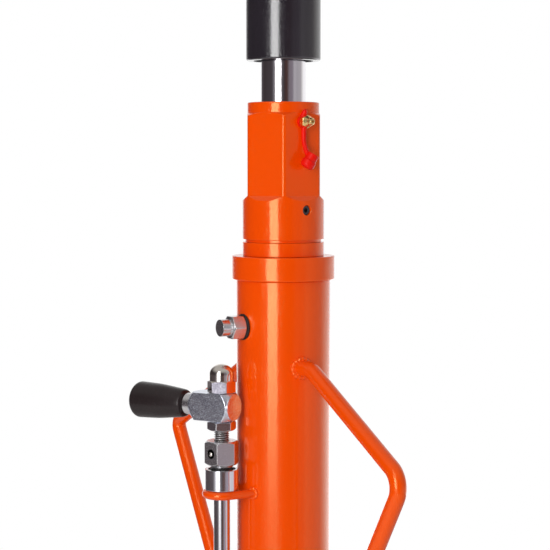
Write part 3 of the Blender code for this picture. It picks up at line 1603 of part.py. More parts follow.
def pedal_pin_axis():
    """The pedal pivot's axis, level along X."""
    place_there = Matrix.Translation((0, -PEDAL_PIN_OFFSET, PEDAL_PIN_HEIGHT))
    return place_there @ Matrix.Rotation(math.radians(90), 4, "Y")


def make_pump():
    """The pump barrel, its plunger with a cap, and the return spring between them."""
    bore = PLUNGER_DIAMETER / 2 + RUNNING_GAP
    thread = PUMP_THREAD_DIAMETER / 2
    hex_bottom = BLOCK_TOP + SEAT_GAP
    hex_top = hex_bottom + BARREL_HEX_HEIGHT
    corner = hex_radius(BARREL_ACROSS)
    face = BARREL_ACROSS / 2 * CHAMFER_SHARE
    cone = (corner - face) * math.tan(math.radians(30))
    barrel = hex_with_round(
        "pump_barrel",
        BARREL_ACROSS,
        0.0,
        2 * BARREL_TOP,
        [
            (BARREL_COLLAR_DIAMETER / 2, BARREL_TOP),
            (BARREL_COLLAR_DIAMETER / 2, hex_top),
            (face, hex_top),
            (corner, hex_top - cone),
            (corner, hex_bottom),
            (thread, hex_bottom),
            (thread, BLOCK_TOP - PUMP_THREAD_DEPTH),
            (bore, BLOCK_TOP - PUMP_THREAD_DEPTH),
            (bore, BARREL_TOP),
        ],
        ring=True,
    )
    place(barrel, (0, -PUMP_OFFSET, 0))
    paint(barrel, ZINC)
    stem = PLUNGER_DIAMETER / 2
    cap = PLUNGER_CAP_DIAMETER / 2
    edge = 0.001
    bottom = BLOCK_TOP - PUMP_THREAD_DEPTH - SEAT_GAP
    plunger = turned(
        "pump_plunger",
        [
            (0, PLUNGER_TOP),
            (cap - edge, PLUNGER_TOP),
            (cap, PLUNGER_TOP - edge),
            (cap, PLUNGER_CAP_BOTTOM),
            (stem, PLUNGER_CAP_BOTTOM),
            (stem, bottom + edge),
            (stem - edge, bottom),
            (0, bottom),
        ],
    )
    place(plunger, (0, -PUMP_OFFSET, 0))
    paint(plunger, ZINC)
    make_spring()


def make_spring():
    """The return spring: a helix whose first and last turns lie flat."""
    steps_a_turn = 10
    steps = SPRING_TURNS * steps_a_turn
    low = BARREL_TOP + SEAT_GAP + SPRING_WIRE / 2
    high = PLUNGER_CAP_BOTTOM - SEAT_GAP - SPRING_WIRE / 2
    closed = steps_a_turn
    points = []
    for step in range(steps + 1):
        turn = 2 * math.pi * step / steps_a_turn
        rise = min(max((step - closed * 0.75) / (steps - 1.5 * closed), 0.0), 1.0)
        end_lift = SPRING_WIRE * 0.6 * (min(step / closed, 1.0) + min((steps - step) / closed, 1.0) - 1.0)
        height = low + (high - low) * rise
        height += end_lift if rise == 0.0 else 0.0
        height -= end_lift if rise == 1.0 else 0.0
        radius = SPRING_COIL_DIAMETER / 2
        points.append((radius * math.cos(turn), radius * math.sin(turn), height))
    spring = bar("pump_return_spring", points, SPRING_WIRE / 2, 1)
    place(spring, (0, -PUMP_OFFSET, 0))
    paint(spring, ZINC)


def pedal_frame():
    """The pedal's own frame: X out along the lever, Z up across it, at the pivot pin."""
    place_there = Matrix.Translation((0, -PEDAL_PIN_OFFSET, PEDAL_PIN_HEIGHT))
    face_front = Matrix.Rotation(math.radians(-90), 4, "Z")
    return place_there @ face_front @ Matrix.Rotation(-PEDAL_SLOPE, 4, "Y")


def make_pedal():
    """The pedal lever: two cheeks over the plunger, a bar out to the pad, and the roller."""
    across = Matrix.Rotation(math.radians(90), 4, "X")
    half_gap = PEDAL_CHEEK_GAP / 2
    middle = half_gap + PEDAL_CHEEK_THICKNESS / 2
    bar_radius = PEDAL_BAR_DIAMETER / 2
    bar_start = ROLLER_ARM + ROLLER_DIAMETER / 2 + PEDAL_BLOCK_LENGTH
    cheek_end = bar_start + PEDAL_BLOCK_LENGTH * 1.2
    cheek_low = ROLLER_DIAMETER / 2 - ROLLER_STANDS_BELOW_CHEEK
    outline = [
        *arc((0, 0), PEDAL_BOSS_RADIUS, 90, 270, 8),
        (ROLLER_ARM, -cheek_low),
        (cheek_end, -cheek_low),
        (cheek_end, cheek_low),
        (ROLLER_ARM, PEDAL_BOSS_RADIUS),
    ]
    cheeks = []
    for direction, name in ((1, "left"), (-1, "right")):
        cheek = flat_plate(f"pedal_cheek_{name}", outline, PEDAL_CHEEK_THICKNESS, "XZ")
        cheeks.append(moved(cheek, Matrix.Translation((0, direction * middle, 0))))
    lever = cylinder("pedal_lever", bar_radius, bar_start, PEDAL_REACH - PAD_DEPTH / 4)
    moved(lever, Matrix.Rotation(math.radians(90), 4, "Y"))
    block = box(
        "pedal_cross_block",
        (bar_start, -middle, -cheek_low * 0.9),
        (bar_start + PEDAL_BLOCK_LENGTH, middle, cheek_low * 0.9),
    )
    plate_low = (PEDAL_REACH - PAD_DEPTH, -PAD_WIDTH / 2, bar_radius - PAD_THICKNESS / 2)
    plate_high = (PEDAL_REACH, PAD_WIDTH / 2, bar_radius + PAD_THICKNESS / 2)
    plate = box("pedal_plate", plate_low, plate_high)
    fuse(lever, [block, *cheeks, plate])
    holes = ((0.0, PEDAL_PIN_DIAMETER, "pin"), (ROLLER_ARM, PEDAL_PIN_DIAMETER * 0.6, "roller"))
    for reach, diameter, name in holes:
        hole = cylinder(f"pedal_{name}_bore", diameter / 2 + RUNNING_GAP, -PAD_WIDTH, PAD_WIDTH)
        moved(hole, Matrix.Translation((reach, 0, 0)) @ across)
        boolean(lever, hole, "DIFFERENCE")
    moved(lever, pedal_frame())
    paint(lever, BLACK_PAINT)
    make_pad(bar_radius)
    roller = make_roller(half_gap)
    moved(roller, pedal_frame() @ Matrix.Translation((ROLLER_ARM, 0, 0)) @ across)
    paint(roller, ZINC)


def make_pad(bar_radius):
    """The ribbed rubber pad on the pedal's plate."""
    bottom = bar_radius + PAD_THICKNESS / 2 + SEAT_GAP
    top = bottom + PAD_THICKNESS
    low = (PEDAL_REACH - PAD_DEPTH, -PAD_WIDTH / 2, bottom)
    pad = box("pedal_pad", low, (PEDAL_REACH, PAD_WIDTH / 2, top))
    pitch = PAD_DEPTH / PAD_RIB_COUNT
    ribs = []
    for index in range(PAD_RIB_COUNT):
        middle = PEDAL_REACH - PAD_DEPTH + pitch * (index + 0.5)
        low = (middle - PAD_RIB_WIDTH / 2, -PAD_WIDTH / 2, top - PAD_RIB_HEIGHT)
        high = (middle + PAD_RIB_WIDTH / 2, PAD_WIDTH / 2, top + PAD_RIB_HEIGHT)
        ribs.append(box(f"pedal_pad_rib_{index + 1}", low, high))
    fuse(pad, ribs)
    moved(pad, pedal_frame())
    paint(pad, BLACK_RUBBER)


def make_roller(half_gap):
    """The roller that presses the plunger, with its pin through both cheeks."""
    radius = ROLLER_DIAMETER / 2
    pin = PEDAL_PIN_DIAMETER * 0.3
    side = half_gap - RUNNING_GAP
    reach = half_gap + PEDAL_CHEEK_THICKNESS + 0.001
    return turned(
        "pedal_roller",
        [
            (0, reach),
            (pin, reach),
            (pin, side),
            (radius, side),
            (radius, -side),
            (pin, -side),
            (pin, -reach),
            (0, -reach),
        ],
    )


def make_pedal_pin():
    """The pivot pin through the lugs and the pedal's cheeks."""
    lug_outside = tongue_half_width() - LUG_INSET
    radius = PEDAL_PIN_DIAMETER / 2
    reach = lug_outside + SEAT_GAP
    head = 0.003
    pin = turned(
        "pedal_pivot_pin",
        [
            (0, reach + head),
            (radius * 1.5, reach + head),
            (radius * 1.5, reach),
            (radius, reach),
            (radius, -reach),
            (radius * 1.5, -reach),
            (radius * 1.5, -reach - head),
            (0, -reach - head),
        ],
    )
    moved(pin, pedal_pin_axis())
    paint(pin, ZINC)


def main():
    """Build the whole jack."""
    global parts, cutters
    for obj in list(bpy.data.objects):
        bpy.data.objects.remove(obj)
    parts = new_collection("transmission_jack")
    cutters = new_collection("cutters")
    make_reservoir_tube()
    make_top_flange()
    make_inner_cylinder()
    make_gland()
    make_bleed_nipple()
    make_dust_cap()
    make_filler_plug()
    make_ram()
    make_socket()
    make_saddle()
    make_handles()
    make_guide_loop()
    make_guide_bush()
    make_release_rod()
    make_coupling()
    make_lever_nuts()
    make_lever_block()
    make_lever_knob()
    make_release_valve()
    make_base_block()
    make_valve_plugs()
    make_pump()
    make_pedal()
    make_pedal_pin()
    angles = [FIRST_LEG_ANGLE + 360 * index / CASTOR_COUNT for index in range(CASTOR_COUNT)]
    for number, angle in enumerate(angles, start=1):
        make_leg(number, angle)
        make_castor(number, angle)
    make_kingpins(angles)


main()
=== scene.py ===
# %% [markdown]
# # Dressing a transmission jack for a studio picture
#
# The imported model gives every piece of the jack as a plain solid, in metres, with +Z up.
# This lesson keeps those solids as the frame that decides where things are, and puts a finer
# surface over each piece that shows: turned parts that are truly round, nuts with real
# chamfers, a cut thread, weld beads, and paint, chrome, zinc and rubber to cover them.

# %% Load the frame
import json
import math

import bmesh
import bpy
import numpy as np
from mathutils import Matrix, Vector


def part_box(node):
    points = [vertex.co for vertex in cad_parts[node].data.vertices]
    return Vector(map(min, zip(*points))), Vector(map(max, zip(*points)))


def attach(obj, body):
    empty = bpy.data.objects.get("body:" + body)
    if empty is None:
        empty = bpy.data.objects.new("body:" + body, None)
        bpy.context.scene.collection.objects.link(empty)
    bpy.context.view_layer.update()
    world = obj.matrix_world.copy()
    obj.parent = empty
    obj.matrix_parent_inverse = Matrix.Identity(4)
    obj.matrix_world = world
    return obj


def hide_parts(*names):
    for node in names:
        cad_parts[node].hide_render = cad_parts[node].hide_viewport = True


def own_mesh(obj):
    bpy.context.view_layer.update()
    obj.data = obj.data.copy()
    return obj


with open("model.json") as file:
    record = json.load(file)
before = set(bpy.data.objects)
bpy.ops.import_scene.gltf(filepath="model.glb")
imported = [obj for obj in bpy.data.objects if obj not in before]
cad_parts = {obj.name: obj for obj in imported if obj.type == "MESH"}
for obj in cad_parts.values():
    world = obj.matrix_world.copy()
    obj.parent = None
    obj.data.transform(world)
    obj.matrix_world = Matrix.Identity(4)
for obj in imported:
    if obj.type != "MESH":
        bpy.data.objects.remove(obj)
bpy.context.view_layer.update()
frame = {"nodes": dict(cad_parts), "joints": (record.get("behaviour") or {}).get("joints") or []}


def low(node):
    """A solid's lowest height."""
    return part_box(node)[0].z


def high(node):
    """A solid's highest height."""
    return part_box(node)[1].z


# %% [markdown]
# ## Profiles
#
# Most of a hydraulic jack is turned on a lathe, so most of its pieces begin as a profile: a
# list of (radius, height) points. A lathe never leaves a perfectly sharp edge, and an edge
# without a radius catches no light in a render, so each corner of a profile gives way to a
# small curve. It could be done with a Bevel modifier, but doing it on the few profile points
# keeps full control of how many rows of faces each edge costs.

# %% Round the corners of a profile
TAU = 2 * math.pi
GAP = 0.0003  # between pieces that sit on each other
X, Y, Z = np.eye(3)


def level(bearing):
    """A level unit vector at a bearing."""
    return np.array([math.cos(bearing), math.sin(bearing), 0.0])


def rounded(profile, radius, steps=3):
    """Replace each inner corner C by a curve between A and B, which lie `radius` away on its
    two sides: (1-t)^2 A + 2t(1-t) C + t^2 B. One more point on each side keeps the flats flat."""
    profile = np.asarray(profile, float)
    corner = profile[1:-1]

    def toward(other):
        gap = other - corner
        length = np.maximum(np.linalg.norm(gap, axis=1, keepdims=True), 1e-9)
        return gap * np.minimum(radius / length, 0.28)

    back, ahead = toward(profile[:-2])[:, None], toward(profile[2:])[:, None]
    corner = corner[:, None]
    t = np.linspace(0, 1, steps + 1)[None, :, None]
    curve = (1 - t) ** 2 * (corner + back) + 2 * t * (1 - t) * corner + t ** 2 * (corner + ahead)
    curve = np.concatenate([corner + 1.6 * back, curve, corner + 1.6 * ahead], axis=1)
    return np.vstack([profile[:1], curve.reshape(-1, profile.shape[1]), profile[-1:]])


def refined(profile, longest):
    """Add points along a profile until none of its steps is longer than `longest`."""
    profile = np.asarray(profile, float)
    run = np.concatenate([[0.0], np.cumsum(np.linalg.norm(np.diff(profile, axis=0), axis=1))])
    at = np.union1d(run, np.linspace(0, run[-1], int(run[-1] / longest) + 2))
    return np.column_stack([np.interp(at, run, column) for column in profile.T])


def looped(profile):
    """Close a profile on itself, for a piece with a bore."""
    return [*profile, profile[0]]


print("a square corner rounded at 1 mm:", len(rounded([(0, 0), (0.01, 0), (0.01, 0.01)], 0.001)), "points")

# %% [markdown]
# ## Turned pieces, with or without flats
#
# A nut is a turned blank with flats milled on it. Blender could cut the flats with a Boolean,
# but there is a neater way: at each angle and height the nut's radius is the smaller of two
# radii, that of the turned blank and that of the polygon. Taking a softened minimum rounds
# the edge where they meet, and the curved line of a nut's chamfer appears by itself.

# %% The turned surface
def turned(profile, sides=96, flats=0, apothem=0.0, first_flat=0.0, crisp=110.0):
    """x = R cos a, y = R sin a, z = h. Without flats R is the profile's radius r. With flats
    R = r (1 + (r / P)^q)^(-1/q), and the polygon P(a) = apothem / (sum of cos(a - flat)^q)^(1/q),
    with q = crisp. Angles crowd together at the polygon's corners."""
    profile = np.asarray(profile, float)
    radius, height = profile[:, :1], profile[:, 1:]
    angle = np.linspace(0, TAU, sides, endpoint=False)[None, :]
    if flats:
        angle = angle + first_flat + 0.85 / flats * np.sin(flats * angle)
        flat = first_flat + TAU / flats * np.arange(flats)[:, None]
        facing = np.maximum(np.cos(angle - flat), 1e-6)
        polygon = np.asarray(apothem).reshape(-1, 1) / (facing ** crisp).sum(0) ** (1 / crisp)
        radius = radius * (1 + (radius / polygon) ** crisp) ** (-1 / crisp)
    radius, height = np.broadcast_arrays(radius, height + 0 * angle)
    return np.stack([radius * np.cos(angle), radius * np.sin(angle), height], axis=-1)


def aimed(grid, origin, direction):
    """Stand a shape made about Z on another axis: p = origin + x u + y v + z w, where w is the
    direction, u = Z x w and v = w x u."""
    w = np.asarray(direction, float) / np.linalg.norm(direction)
    u = np.cross(Z, w) / np.linalg.norm(np.cross(Z, w))
    return np.asarray(origin) + grid[..., :1] * u + grid[..., 1:2] * np.cross(w, u) + grid[..., 2:] * w


# %% [markdown]
# ## Bars along a path
#
# The handles, the guide loop, the dust cap's strap, the spring and every weld bead are a
# round section carried along a path. A curve object with a bevel would do for the plain ones,
# but a weld bead changes thickness along the way, so all of them use one small function.

# %% The swept surface
def unit(vectors):
    """Vectors divided by their lengths."""
    return vectors / np.linalg.norm(vectors, axis=-1, keepdims=True)


def bent(corners, bends, steps=16):
    """Straight runs joined by arcs: at a corner C whose half angle is h, the arc of radius R has
    its centre R / sin h from C, and it touches both runs R / tan h from C."""
    corners = np.asarray(corners, float)
    corner = corners[1:-1]
    back, ahead = unit(corners[:-2] - corner), unit(corners[2:] - corner)
    half = np.arccos(np.clip((back * ahead).sum(1), -1, 1))[:, None] / 2
    bend = np.asarray(bends, float)[:, None]
    centre = corner + unit(back + ahead) * bend / np.sin(half)
    start = (corner + back * bend / np.tan(half) - centre)[:, None]
    end = (corner + ahead * bend / np.tan(half) - centre)[:, None]
    sweep = (math.pi - 2 * half)[:, None]
    share = np.linspace(0, 1, steps + 1)[:, None]
    arcs = centre[:, None] + (start * np.sin(sweep * (1 - share)) + end * np.sin(sweep * share)) / np.sin(sweep)
    return np.vstack([corners[:1], arcs.reshape(-1, 3), corners[-1:]])


def swept(path, radius, sides=24, normal=Z, closed=False):
    """p = centre + r (n cos a + b sin a): n is the given normal made square to the tangent t,
    and b = t x n. Open paths end in a flat cap, closed ones meet themselves."""
    path = np.asarray(path, float)
    radius = np.broadcast_to(np.asarray(radius, float), len(path))
    if closed:
        tangent = unit(np.roll(path, -1, axis=0) - np.roll(path, 1, axis=0))
        again = np.r_[np.arange(len(path)), 0]
        path, radius, tangent = path[again], radius[again], tangent[again]
    else:
        tangent = unit(np.gradient(path, axis=0))
        ends = np.r_[0, np.arange(len(path)), -1]
        path, tangent = path[ends], tangent[ends]
        radius = np.r_[0.0, radius, 0.0]
    across = unit(normal - (tangent @ normal)[:, None] * tangent)
    other = np.cross(tangent, across)
    angle = np.linspace(0, TAU, sides, endpoint=False)[None, :, None]
    spoke = across[:, None] * np.cos(angle) + other[:, None] * np.sin(angle)
    return path[:, None] + radius[:, None, None] * spoke


# %% [markdown]
# ## From points to meshes
#
# A grid of points becomes a mesh by joining each point to its neighbours. Points that fall
# together, at a pole or where a loop closes, are merged, and the normals are turned outward.
# Real edges stay crisp because only faces that meet at a shallow angle are shaded as one.

# %% Make an object from grids
CREASE = math.radians(38)


def smoothed(mesh):
    """Shade smooth, with real edges kept."""
    mesh.shade_smooth()
    mesh.set_sharp_from_angle(angle=CREASE)


def solid(name, *grids):
    """One object from closed grids of rows and columns; the last column joins the first."""
    points, faces, start = [], [], 0
    for grid in grids:
        rows, columns = grid.shape[:2]
        row, column = np.meshgrid(np.arange(rows - 1), np.arange(columns), indexing="ij")
        after = (column + 1) % columns
        here, below = row * columns, (row + 1) * columns
        quads = np.stack([here + column, here + after, below + after, below + column], axis=-1)
        points.append(grid.reshape(-1, 3))
        faces.append(quads.reshape(-1, 4) + start)
        start += rows * columns
    mesh = bpy.data.meshes.new(name)
    mesh.from_pydata(np.vstack(points), [], np.vstack(faces).tolist())
    work = bmesh.new()
    work.from_mesh(mesh)
    bmesh.ops.remove_doubles(work, verts=work.verts, dist=1e-7)
    bmesh.ops.recalc_face_normals(work, faces=work.faces)
    work.to_mesh(mesh)
    work.free()
    smoothed(mesh)
    obj = bpy.data.objects.new(name, mesh)
    bpy.context.scene.collection.objects.link(obj)
    return obj


def drilled(obj, *grids):
    """Cut holes in a finished piece, and drop the drills."""
    for grid in grids:
        drill = solid(f"{obj.name}_drill", grid)
        cut = obj.modifiers.new("hole", "BOOLEAN")
        cut.operation = "DIFFERENCE"
        cut.object = drill
        cut.solver = "EXACT"
        bpy.context.view_layer.update()
        graph = bpy.context.evaluated_depsgraph_get()
        mesh = bpy.data.meshes.new_from_object(obj.evaluated_get(graph))
        obj.modifiers.clear()
        obj.data = mesh
        bpy.data.objects.remove(drill)
    smoothed(obj.data)
    return obj


def cad_copy(node, name, edge):
    """Merge a copy of a solid's loose triangles, make its flat areas single faces and round its
    edges with a Bevel modifier."""
    mesh = frame["nodes"][node].data.copy()
    mesh.name = name
    for attribute in [a for a in mesh.attributes if a.name == "custom_normal"]:
        mesh.attributes.remove(attribute)
    work = bmesh.new()
    work.from_mesh(mesh)
    bmesh.ops.remove_doubles(work, verts=work.verts, dist=1e-6)
    bmesh.ops.dissolve_limit(work, angle_limit=math.radians(0.6), verts=work.verts, edges=work.edges)
    work.to_mesh(mesh)
    work.free()
    mesh.materials.clear()
    smoothed(mesh)
    obj = bpy.data.objects.new(name, mesh)
    bpy.context.scene.collection.objects.link(obj)
    bevel = obj.modifiers.new("edges", "BEVEL")
    bevel.width = edge
    bevel.segments = 2
    bevel.limit_method = "ANGLE"
    bevel.angle_limit = CREASE
    bevel.harden_normals = True
    return obj


# %% [markdown]
# ## Effects that several finishes share
#
# Paint, zinc and rubber all need some of the same things: a mask for worn edges, the rings a
# lathe leaves, fine scratches, a slow drift of tone, a little dust on what faces up. Each is a
# node group, built once. A group gives out only a mask or a height, and each material decides
# what to do with it. A few short functions first, each for one or two nodes.

# %% Short ways to write nodes
def add(tree, kind, inputs=None, **settings):
    """One shader node with its settings and input values or links."""
    node = tree.nodes.new(kind)
    for key, value in settings.items():
        setattr(node, key, value)
    for key, value in (inputs or {}).items():
        if isinstance(value, bpy.types.NodeSocket):
            tree.links.new(value, node.inputs[key])
        else:
            node.inputs[key].default_value = value
    return node


def math_node(tree, operation, first, second=0.0, clamp=False):
    """One Math node's output."""
    node = add(tree, "ShaderNodeMath", {0: first, 1: second}, operation=operation)
    node.use_clamp = clamp
    return node.outputs[0]


def times(tree, first, second, clamp=False):
    """Two values multiplied."""
    return math_node(tree, "MULTIPLY", first, second, clamp)


def vector_node(tree, operation, first, second=(0.0, 0.0, 0.0), output="Value"):
    """One Vector Math node's output."""
    return add(tree, "ShaderNodeVectorMath", {0: first, 1: second}, operation=operation).outputs[output]


def ramp(tree, value, start, end, at_start=0.0, at_end=1.0):
    """A value mapped from start..end to at_start..at_end, and held beyond."""
    inputs = {0: value, 1: start, 2: end, 3: at_start, 4: at_end}
    return add(tree, "ShaderNodeMapRange", inputs).outputs[0]


def noise(tree, where, scale, detail):
    """A noise texture's value."""
    return add(tree, "ShaderNodeTexNoise", {"Vector": where, "Scale": scale, "Detail": detail}).outputs["Fac"]


def axis_distance(tree, where):
    """A point's distance from the Z axis, and its height."""
    x, y, height = add(tree, "ShaderNodeSeparateXYZ", {0: where}).outputs
    return math_node(tree, "SQRT", math_node(tree, "ADD", times(tree, x, x), times(tree, y, y))), height


def new_group(name, output, **inputs):
    """An empty group with one output. An input given as None is a vector without a default."""
    tree = bpy.data.node_groups.new(name, "ShaderNodeTree")
    for label, value in inputs.items():
        kind = "Float" if isinstance(value, float) else "Vector"
        socket = tree.interface.new_socket(name=label, in_out="INPUT", socket_type=f"NodeSocket{kind}")
        if value is not None:
            socket.default_value = value
    tree.interface.new_socket(name=output, in_out="OUTPUT", socket_type="NodeSocketFloat")
    return tree, tree.nodes.new("NodeGroupInput").outputs, tree.nodes.new("NodeGroupOutput").inputs[output]


# %% [markdown]
# Drift, orange peel and nibs are plain noise at different scales. Nibs are the specks that dry in
# a sprayed coat: only the noise's highest spots rise. Lathe rings are noise that knows a point's
# distance from the axis and its height but not its angle, and scratches are noise drawn out.

# %% Drift, relief and scratches
tree, given, out = new_group("slow_drift", "Mask", Coordinates=None, Scale=25.0)
tree.links.new(noise(tree, given["Coordinates"], given["Scale"], 3.0), out)

tree, given, out = new_group("orange_peel", "Height", Coordinates=None, Scale=700.0)
broad = noise(tree, given["Coordinates"], given["Scale"], 1.5)
grit = noise(tree, given["Coordinates"], times(tree, given["Scale"], 3.1), 1.0)
tree.links.new(math_node(tree, "ADD", broad, times(tree, grit, 0.3)), out)

tree, given, out = new_group("paint_nibs", "Height", Coordinates=None, Scale=900.0)
tree.links.new(ramp(tree, noise(tree, given["Coordinates"], given["Scale"], 1.0), 0.57, 0.66), out)

tree, given, out = new_group("lathe_rings", "Height", Coordinates=None, Pitch=0.0004)
across, height = axis_distance(tree, given["Coordinates"])
rings = add(tree, "ShaderNodeCombineXYZ", {0: across, 2: height}).outputs[0]
tree.links.new(noise(tree, rings, math_node(tree, "DIVIDE", 1.0, given["Pitch"]), 2.0), out)

tree, given, out = new_group("fine_scratches", "Mask", Coordinates=None, Scale=330.0)
total = 0.0
for turn in (0.4, 1.5, 2.7):
    drawn_out = {"Rotation": (turn, turn * 0.7, turn), "Scale": (1.0, 22.0, 6.0)}
    spread = add(tree, "ShaderNodeMapping", {"Vector": given["Coordinates"], **drawn_out}).outputs[0]
    line = ramp(tree, noise(tree, spread, given["Scale"], 1.0), 0.66, 0.74)
    total = math_node(tree, "MAXIMUM", total, line)
tree.links.new(total, out)

# %% [markdown]
# The other masks say where a point is: on an edge, near a point, near an axis or facing up. An
# edge is where the normal of a rounded copy of the surface differs from the true one.

# %% Edges, patches, hollows and dust
tree, given, out = new_group("edge_wear", "Mask", Radius=0.0008, Amount=1.0)
soft = add(tree, "ShaderNodeBevel", {"Radius": given["Radius"]}, samples=6).outputs[0]
normal = add(tree, "ShaderNodeNewGeometry").outputs["Normal"]
bend = times(tree, math_node(tree, "SUBTRACT", 1.0, vector_node(tree, "DOT_PRODUCT", soft, normal)), 9.0)
place = add(tree, "ShaderNodeTexCoord").outputs["Object"]
spots = ramp(tree, noise(tree, place, 350.0, 4.0), 0.42, 0.62)
tree.links.new(times(tree, times(tree, bend, spots), given["Amount"], clamp=True), out)

tree, given, out = new_group("near_point", "Mask", Coordinates=None, Centre=(0.0, 0.0, 0.0), Radius=0.005)
away = vector_node(tree, "DISTANCE", given["Coordinates"], given["Centre"])
tree.links.new(ramp(tree, away, times(tree, given["Radius"], 0.995), given["Radius"], 1.0, 0.0), out)

tree, given, out = new_group("near_axis", "Mask", Coordinates=None, Radius=0.005)
across, height = axis_distance(tree, given["Coordinates"])
tree.links.new(ramp(tree, across, times(tree, given["Radius"], 0.92), given["Radius"], 1.0, 0.0), out)

tree, given, out = new_group("settled_dust", "Mask", Coordinates=None, Amount=0.3)
normal = add(tree, "ShaderNodeNewGeometry").outputs["Normal"]
upward = ramp(tree, add(tree, "ShaderNodeSeparateXYZ", {0: normal}).outputs[2], 0.5, 1.0)
patch = ramp(tree, noise(tree, given["Coordinates"], 120.0, 6.0), 0.35, 0.75)
tree.links.new(times(tree, times(tree, upward, patch), given["Amount"], clamp=True), out)

print("node groups:", [group.name for group in bpy.data.node_groups])

# %% [markdown]
# ## One recipe for every finish
#
# A material starts from a colour, a roughness and a metallic value. The drift makes the tone
# and the gloss wander a little, as on any real surface. Edges get a worn colour, a height map
# gives the skin its relief, and what never changes over the surface is set on the shader.

# %% The finish recipe
# The first colour is painted shade for the grooves of a thread.
GROOVE_SHADE, GREY_DUST = (0.07, 0.045, 0.03), (0.45, 0.42, 0.38)


def effect(tree, group, **inputs):
    """Place a shared effect in a material and give back its only output."""
    node = add(tree, "ShaderNodeGroup", node_tree=bpy.data.node_groups[group])
    for label, value in inputs.items():
        label = label.capitalize()
        if isinstance(value, bpy.types.NodeSocket):
            tree.links.new(value, node.inputs[label])
        else:
            node.inputs[label].default_value = value
    return node.outputs[0]


def mixed(tree, mask, first, second):
    """A colour that goes from first to second with a mask."""
    node = add(tree, "ShaderNodeMix", data_type="RGBA")
    tree.links.new(mask, node.inputs[0])
    for index, colour in ((6, first), (7, second)):
        if isinstance(colour, bpy.types.NodeSocket):
            tree.links.new(colour, node.inputs[index])
        else:
            node.inputs[index].default_value = (*colour, 1.0)
    return node.outputs[2]


def finish(name, colour, other, roughness, metallic=0.0, worn=None, wear=0.5, relief="orange_peel",
           relief_scale=700.0, depth=0.00002, axis=None, scratches=0.0, dust=0.0, drift=25.0, nibs=0.0,
           dull_or_painted_patch=None, painted_groove_shade=0.0, **constant):
    """A complete procedural material. `roughness` is (lowest, highest). The patch argument is (centre,
    radius, colour, matt) of a patch with its own colour and gloss: its colour is painted shade in the
    coupling's pin hole and a painted reflection on the domed nut's front flat. Inside the given radius
    of the axis, the thread's grooves are darkened with painted shade."""
    material = bpy.data.materials.new(name)
    material.use_nodes = True
    tree = material.node_tree
    shader = tree.nodes["Principled BSDF"]
    where = add(tree, "ShaderNodeTexCoord").outputs["Object"]
    if axis:
        where = add(tree, "ShaderNodeMapping", {"Vector": where, **axis}, vector_type="TEXTURE").outputs[0]
    tone = effect(tree, "slow_drift", coordinates=where, scale=drift)
    tint = mixed(tree, tone, colour, other)
    gloss = ramp(tree, tone, 0.3, 0.7, *roughness)
    if worn:
        edge = effect(tree, "edge_wear", amount=wear)
        tint = mixed(tree, edge, tint, worn)
    if scratches:
        lines = times(tree, effect(tree, "fine_scratches", coordinates=where), scratches)
        gloss = math_node(tree, "ADD", gloss, lines, clamp=True)
        tint = mixed(tree, lines, tint, other)
    # A patch's own colour: painted shade in the coupling's pin hole, a painted reflection tone on the domed
    # nut's front flat, with a duller gloss wherever it lies.
    if dull_or_painted_patch:
        centre, radius, patch_colour, matt = dull_or_painted_patch
        patch = effect(tree, "near_point", coordinates=where, centre=centre, radius=radius)
        tint = mixed(tree, patch, tint, patch_colour)
        speckle = times(tree, effect(tree, "slow_drift", coordinates=where, scale=900.0), 2.0 * matt)
        gloss = math_node(tree, "ADD", gloss, times(tree, patch, speckle), clamp=True)
    # The hollows of a thread near the axis are darkened: painted shade.
    if painted_groove_shade:
        groove_shade_mask = effect(tree, "near_axis", coordinates=where, radius=painted_groove_shade)
        tint = mixed(tree, groove_shade_mask, tint, GROOVE_SHADE)
    if dust:
        film = effect(tree, "settled_dust", coordinates=where, amount=dust)
        tint = mixed(tree, film, tint, GREY_DUST)
        gloss = math_node(tree, "ADD", gloss, film, clamp=True)
    label = "pitch" if relief == "lathe_rings" else "scale"
    height = effect(tree, relief, coordinates=where, **{label: relief_scale})
    if nibs:
        raised = effect(tree, "paint_nibs", coordinates=where, scale=1.3 * relief_scale)
        height = math_node(tree, "ADD", height, times(tree, raised, nibs))
    bump = add(tree, "ShaderNodeBump", {"Height": height, "Distance": depth, "Strength": 1.0})
    tree.links.new(tint, shader.inputs["Base Color"])
    tree.links.new(gloss, shader.inputs["Roughness"])
    tree.links.new(bump.outputs[0], shader.inputs["Normal"])
    shader.inputs["Metallic"].default_value = metallic
    for label, value in constant.items():
        shader.inputs[label.replace("_", " ").title().replace("Ior", "IOR")].default_value = value
    return material


# %% [markdown]
# ## The finishes
#
# The column is sprayed with a thick glossy enamel: a slight orange peel breaks up the softbox
# in the highlight, and its reflections are a little warm. The ram is ground and hard chromed.
# Small steel parts are zinc plated: turned ones show rings, milled ones scratches.
#
# Three finishes have a patch of their own, given by a sphere. One centred far in front of the
# domed nut meets only its front flat, which is duller than the rest and carries a darker lilac
# tone, a painted reflection. One round the stud dulls its thread, and a small one inside the
# coupling paints shade on the wall of its pin hole.

# %% Paint, plating, rubber and plastic
ROD_Y = -0.0575
LEVER_TURN = math.radians(208.0)
LEVER_AXIS = level(LEVER_TURN)
NUT_FLAT, COUPLING_FLAT = math.radians(-41.0), math.radians(-74.0)
NUT_FRONT = 0.040 * level(NUT_FLAT) + (0.0, ROD_Y, low("lever_cap_nut") + 0.0046)
PIN_HOLE = 0.0050 * level(COUPLING_FLAT) + (0.0, ROD_Y, high("guide_bush") + 0.0132)
STUD_MIDDLE = (0.0, 0.0, low("lever_lock_nut") - 0.0055)
ALONG_X = {"Rotation": (0.0, math.radians(90), 0.0)}
ALONG_Y = {"Rotation": (math.radians(90), 0.0, 0.0)}
ALONG_LEVER = {"Rotation": (0.0, math.radians(90), LEVER_TURN)}
AT_ROD = {"Location": (0.0, ROD_Y, 0.0)}
LATHED = {"metallic": 1.0, "relief": "lathe_rings", "relief_scale": 0.0005, "depth": 0.000003}

